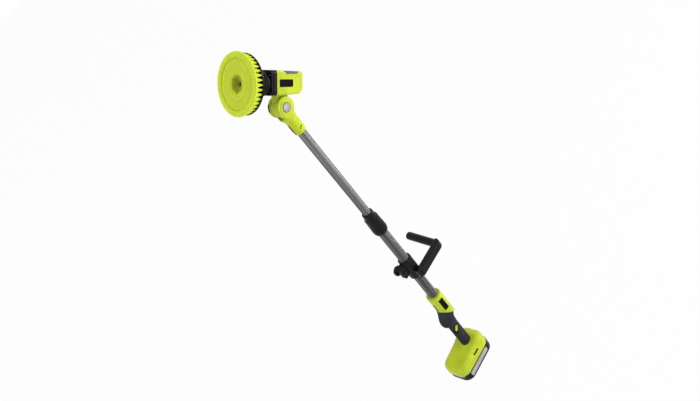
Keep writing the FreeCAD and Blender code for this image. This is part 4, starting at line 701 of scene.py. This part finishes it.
def pit_strands():
    """Shorter bristles that lean into the pit from its wall, so that the spindle's screw is hidden."""
    dice = random.Random(PIT_SEED)
    pit = strands_begun()
    step = 2 * math.pi / PIT_SPOKES
    for row in range(PIT_ROWS):
        deep = (row + 0.5) / PIT_ROWS
        radius = PIT_FLOOR_R + (PIT_TOP_R - PIT_FLOOR_R) * deep
        height = (FIELD_FACE - PLATE_FACE) * (PIT_LOW_SHARE + PIT_RISE_SHARE * deep)
        for place in range(PIT_PLACES):
            wander = dice.uniform(-PIT_WANDER_SHARE, PIT_WANDER_SHARE)
            angle = step * ((place + 0.5 * (row % 2)) / PIT_PLACES + wander)
            lean = PIT_LEAN * dice.uniform(*PIT_LEAN_SHARES) * (1.0 - PIT_UPRIGHT_SHARE * deep)
            root = polar(radius, angle, PLATE_FACE - STRAND_SUNK)
            tip = polar(radius - lean, angle, PLATE_FACE + height)
            add_strand(root, (root + tip) / 2, tip, STRAND_FOOT_R, STRAND_R)
    around(PIT_SPOKES)
    smooth(pit)
    settled(pit, "bristle_pit", "brush", BRUSH_PLACE, PIT_SHADED_NYLON)


# Setting

# The camera that fits the photograph: its place, and where its right side and its top point
CAMERA_AT = Vector((1.5249, -0.7999, 2.1093))
CAMERA_RIGHT = Vector((0.6957, 0.5119, -0.5040)).normalized()
CAMERA_UP = Vector((-0.1275, 0.7784, 0.6146)).normalized()
CAMERA_LENS = 41.875
CAMERA_REACH = 60.0

# The floor looks white but for a little of its shade, and the sky lights the object at half its strength.
FLOOR_SIZE = 14.0
FLOOR_LOW = -0.2 * MM
FLOOR_KEEP = 0.95
SOFT_SKY = 0.5

# Each lamp's place, what it aims at, its width and height, and its watts
POLE_MIDDLE = (0.0, 0.0, 0.7)
LAMPS = {
    "key_above": ((1.4, 0.4, 4.4), POLE_MIDDLE, 1.8, 1.8, 34.0),
    "fill_front": ((-0.6, -4.2, 2.0), (0.0, 0.0, 0.8), 2.6, 2.6, 50.0),
    "strip_side": ((3.0, 0.9, 0.6), POLE_MIDDLE, 0.8, 1.1, 24.0),
    "strip_rear": ((1.9, 2.6, 0.6), POLE_MIDDLE, 0.6, 1.1, 44.0),
}


def add_camera():
    bpy.ops.object.camera_add(location=CAMERA_AT)
    camera = bpy.context.object
    back = CAMERA_RIGHT.cross(CAMERA_UP)
    turn = Matrix(((*CAMERA_RIGHT,), (*CAMERA_UP,), (*back,))).transposed()
    camera.rotation_mode = "QUATERNION"
    camera.rotation_quaternion = turn.to_quaternion()
    camera.data.lens = CAMERA_LENS
    camera.data.clip_end = CAMERA_REACH
    bpy.context.scene.camera = camera


def white_world():
    world = bpy.data.worlds.new("studio")
    bpy.context.scene.world = world
    shading = Shading(world)
    world.node_tree.nodes["Background"].inputs["Color"].default_value = WHITE
    shading.feed(shading.spread(shading.seen_directly(), 0.0, 1.0, SOFT_SKY), "Background", "Strength")


def pale_floor():
    """A plain white floor that keeps a faint shadow of the object."""
    bpy.ops.mesh.primitive_plane_add(size=FLOOR_SIZE, location=(0, 0, FLOOR_LOW))
    floor = bpy.context.object
    floor.name = "studio_floor"
    material = bpy.data.materials.new("pale_floor")
    shading = Shading(material)
    matt = shading.node("ShaderNodeBsdfDiffuse", sockets={"Color": FLOOR_MATT})
    glow = shading.node("ShaderNodeEmission", sockets={"Color": WHITE})
    share = shading.seen_directly() * FLOOR_KEEP
    blend = shading.node("ShaderNodeMixShader", sockets={0: share, 1: matt, 2: glow})
    shading.tree.nodes.remove(shading.tree.nodes[SHADER])
    shading.feed(blend, "Material Output", "Surface")
    floor.data.materials.append(material)


def add_lamp(name, place, aim, wide, tall, watts):
    bpy.ops.object.light_add(type="AREA", location=place)
    lamp = bpy.context.object
    lamp.name = name
    lamp.data.shape = "RECTANGLE"
    lamp.data.size = wide
    lamp.data.size_y = tall
    lamp.data.energy = watts
    lamp.rotation_mode = "QUATERNION"
    lamp.rotation_quaternion = (Vector(aim) - Vector(place)).to_track_quat("-Z", "Y")


def studio():
    bpy.context.scene.view_settings.view_transform = FLAT_VIEW
    white_world()
    pale_floor()
    for name, lamp in LAMPS.items():
        add_lamp(name, *lamp)


dress_nodes()
outer_tufts()
inner_field()
pit_strands()
studio()
add_camera()
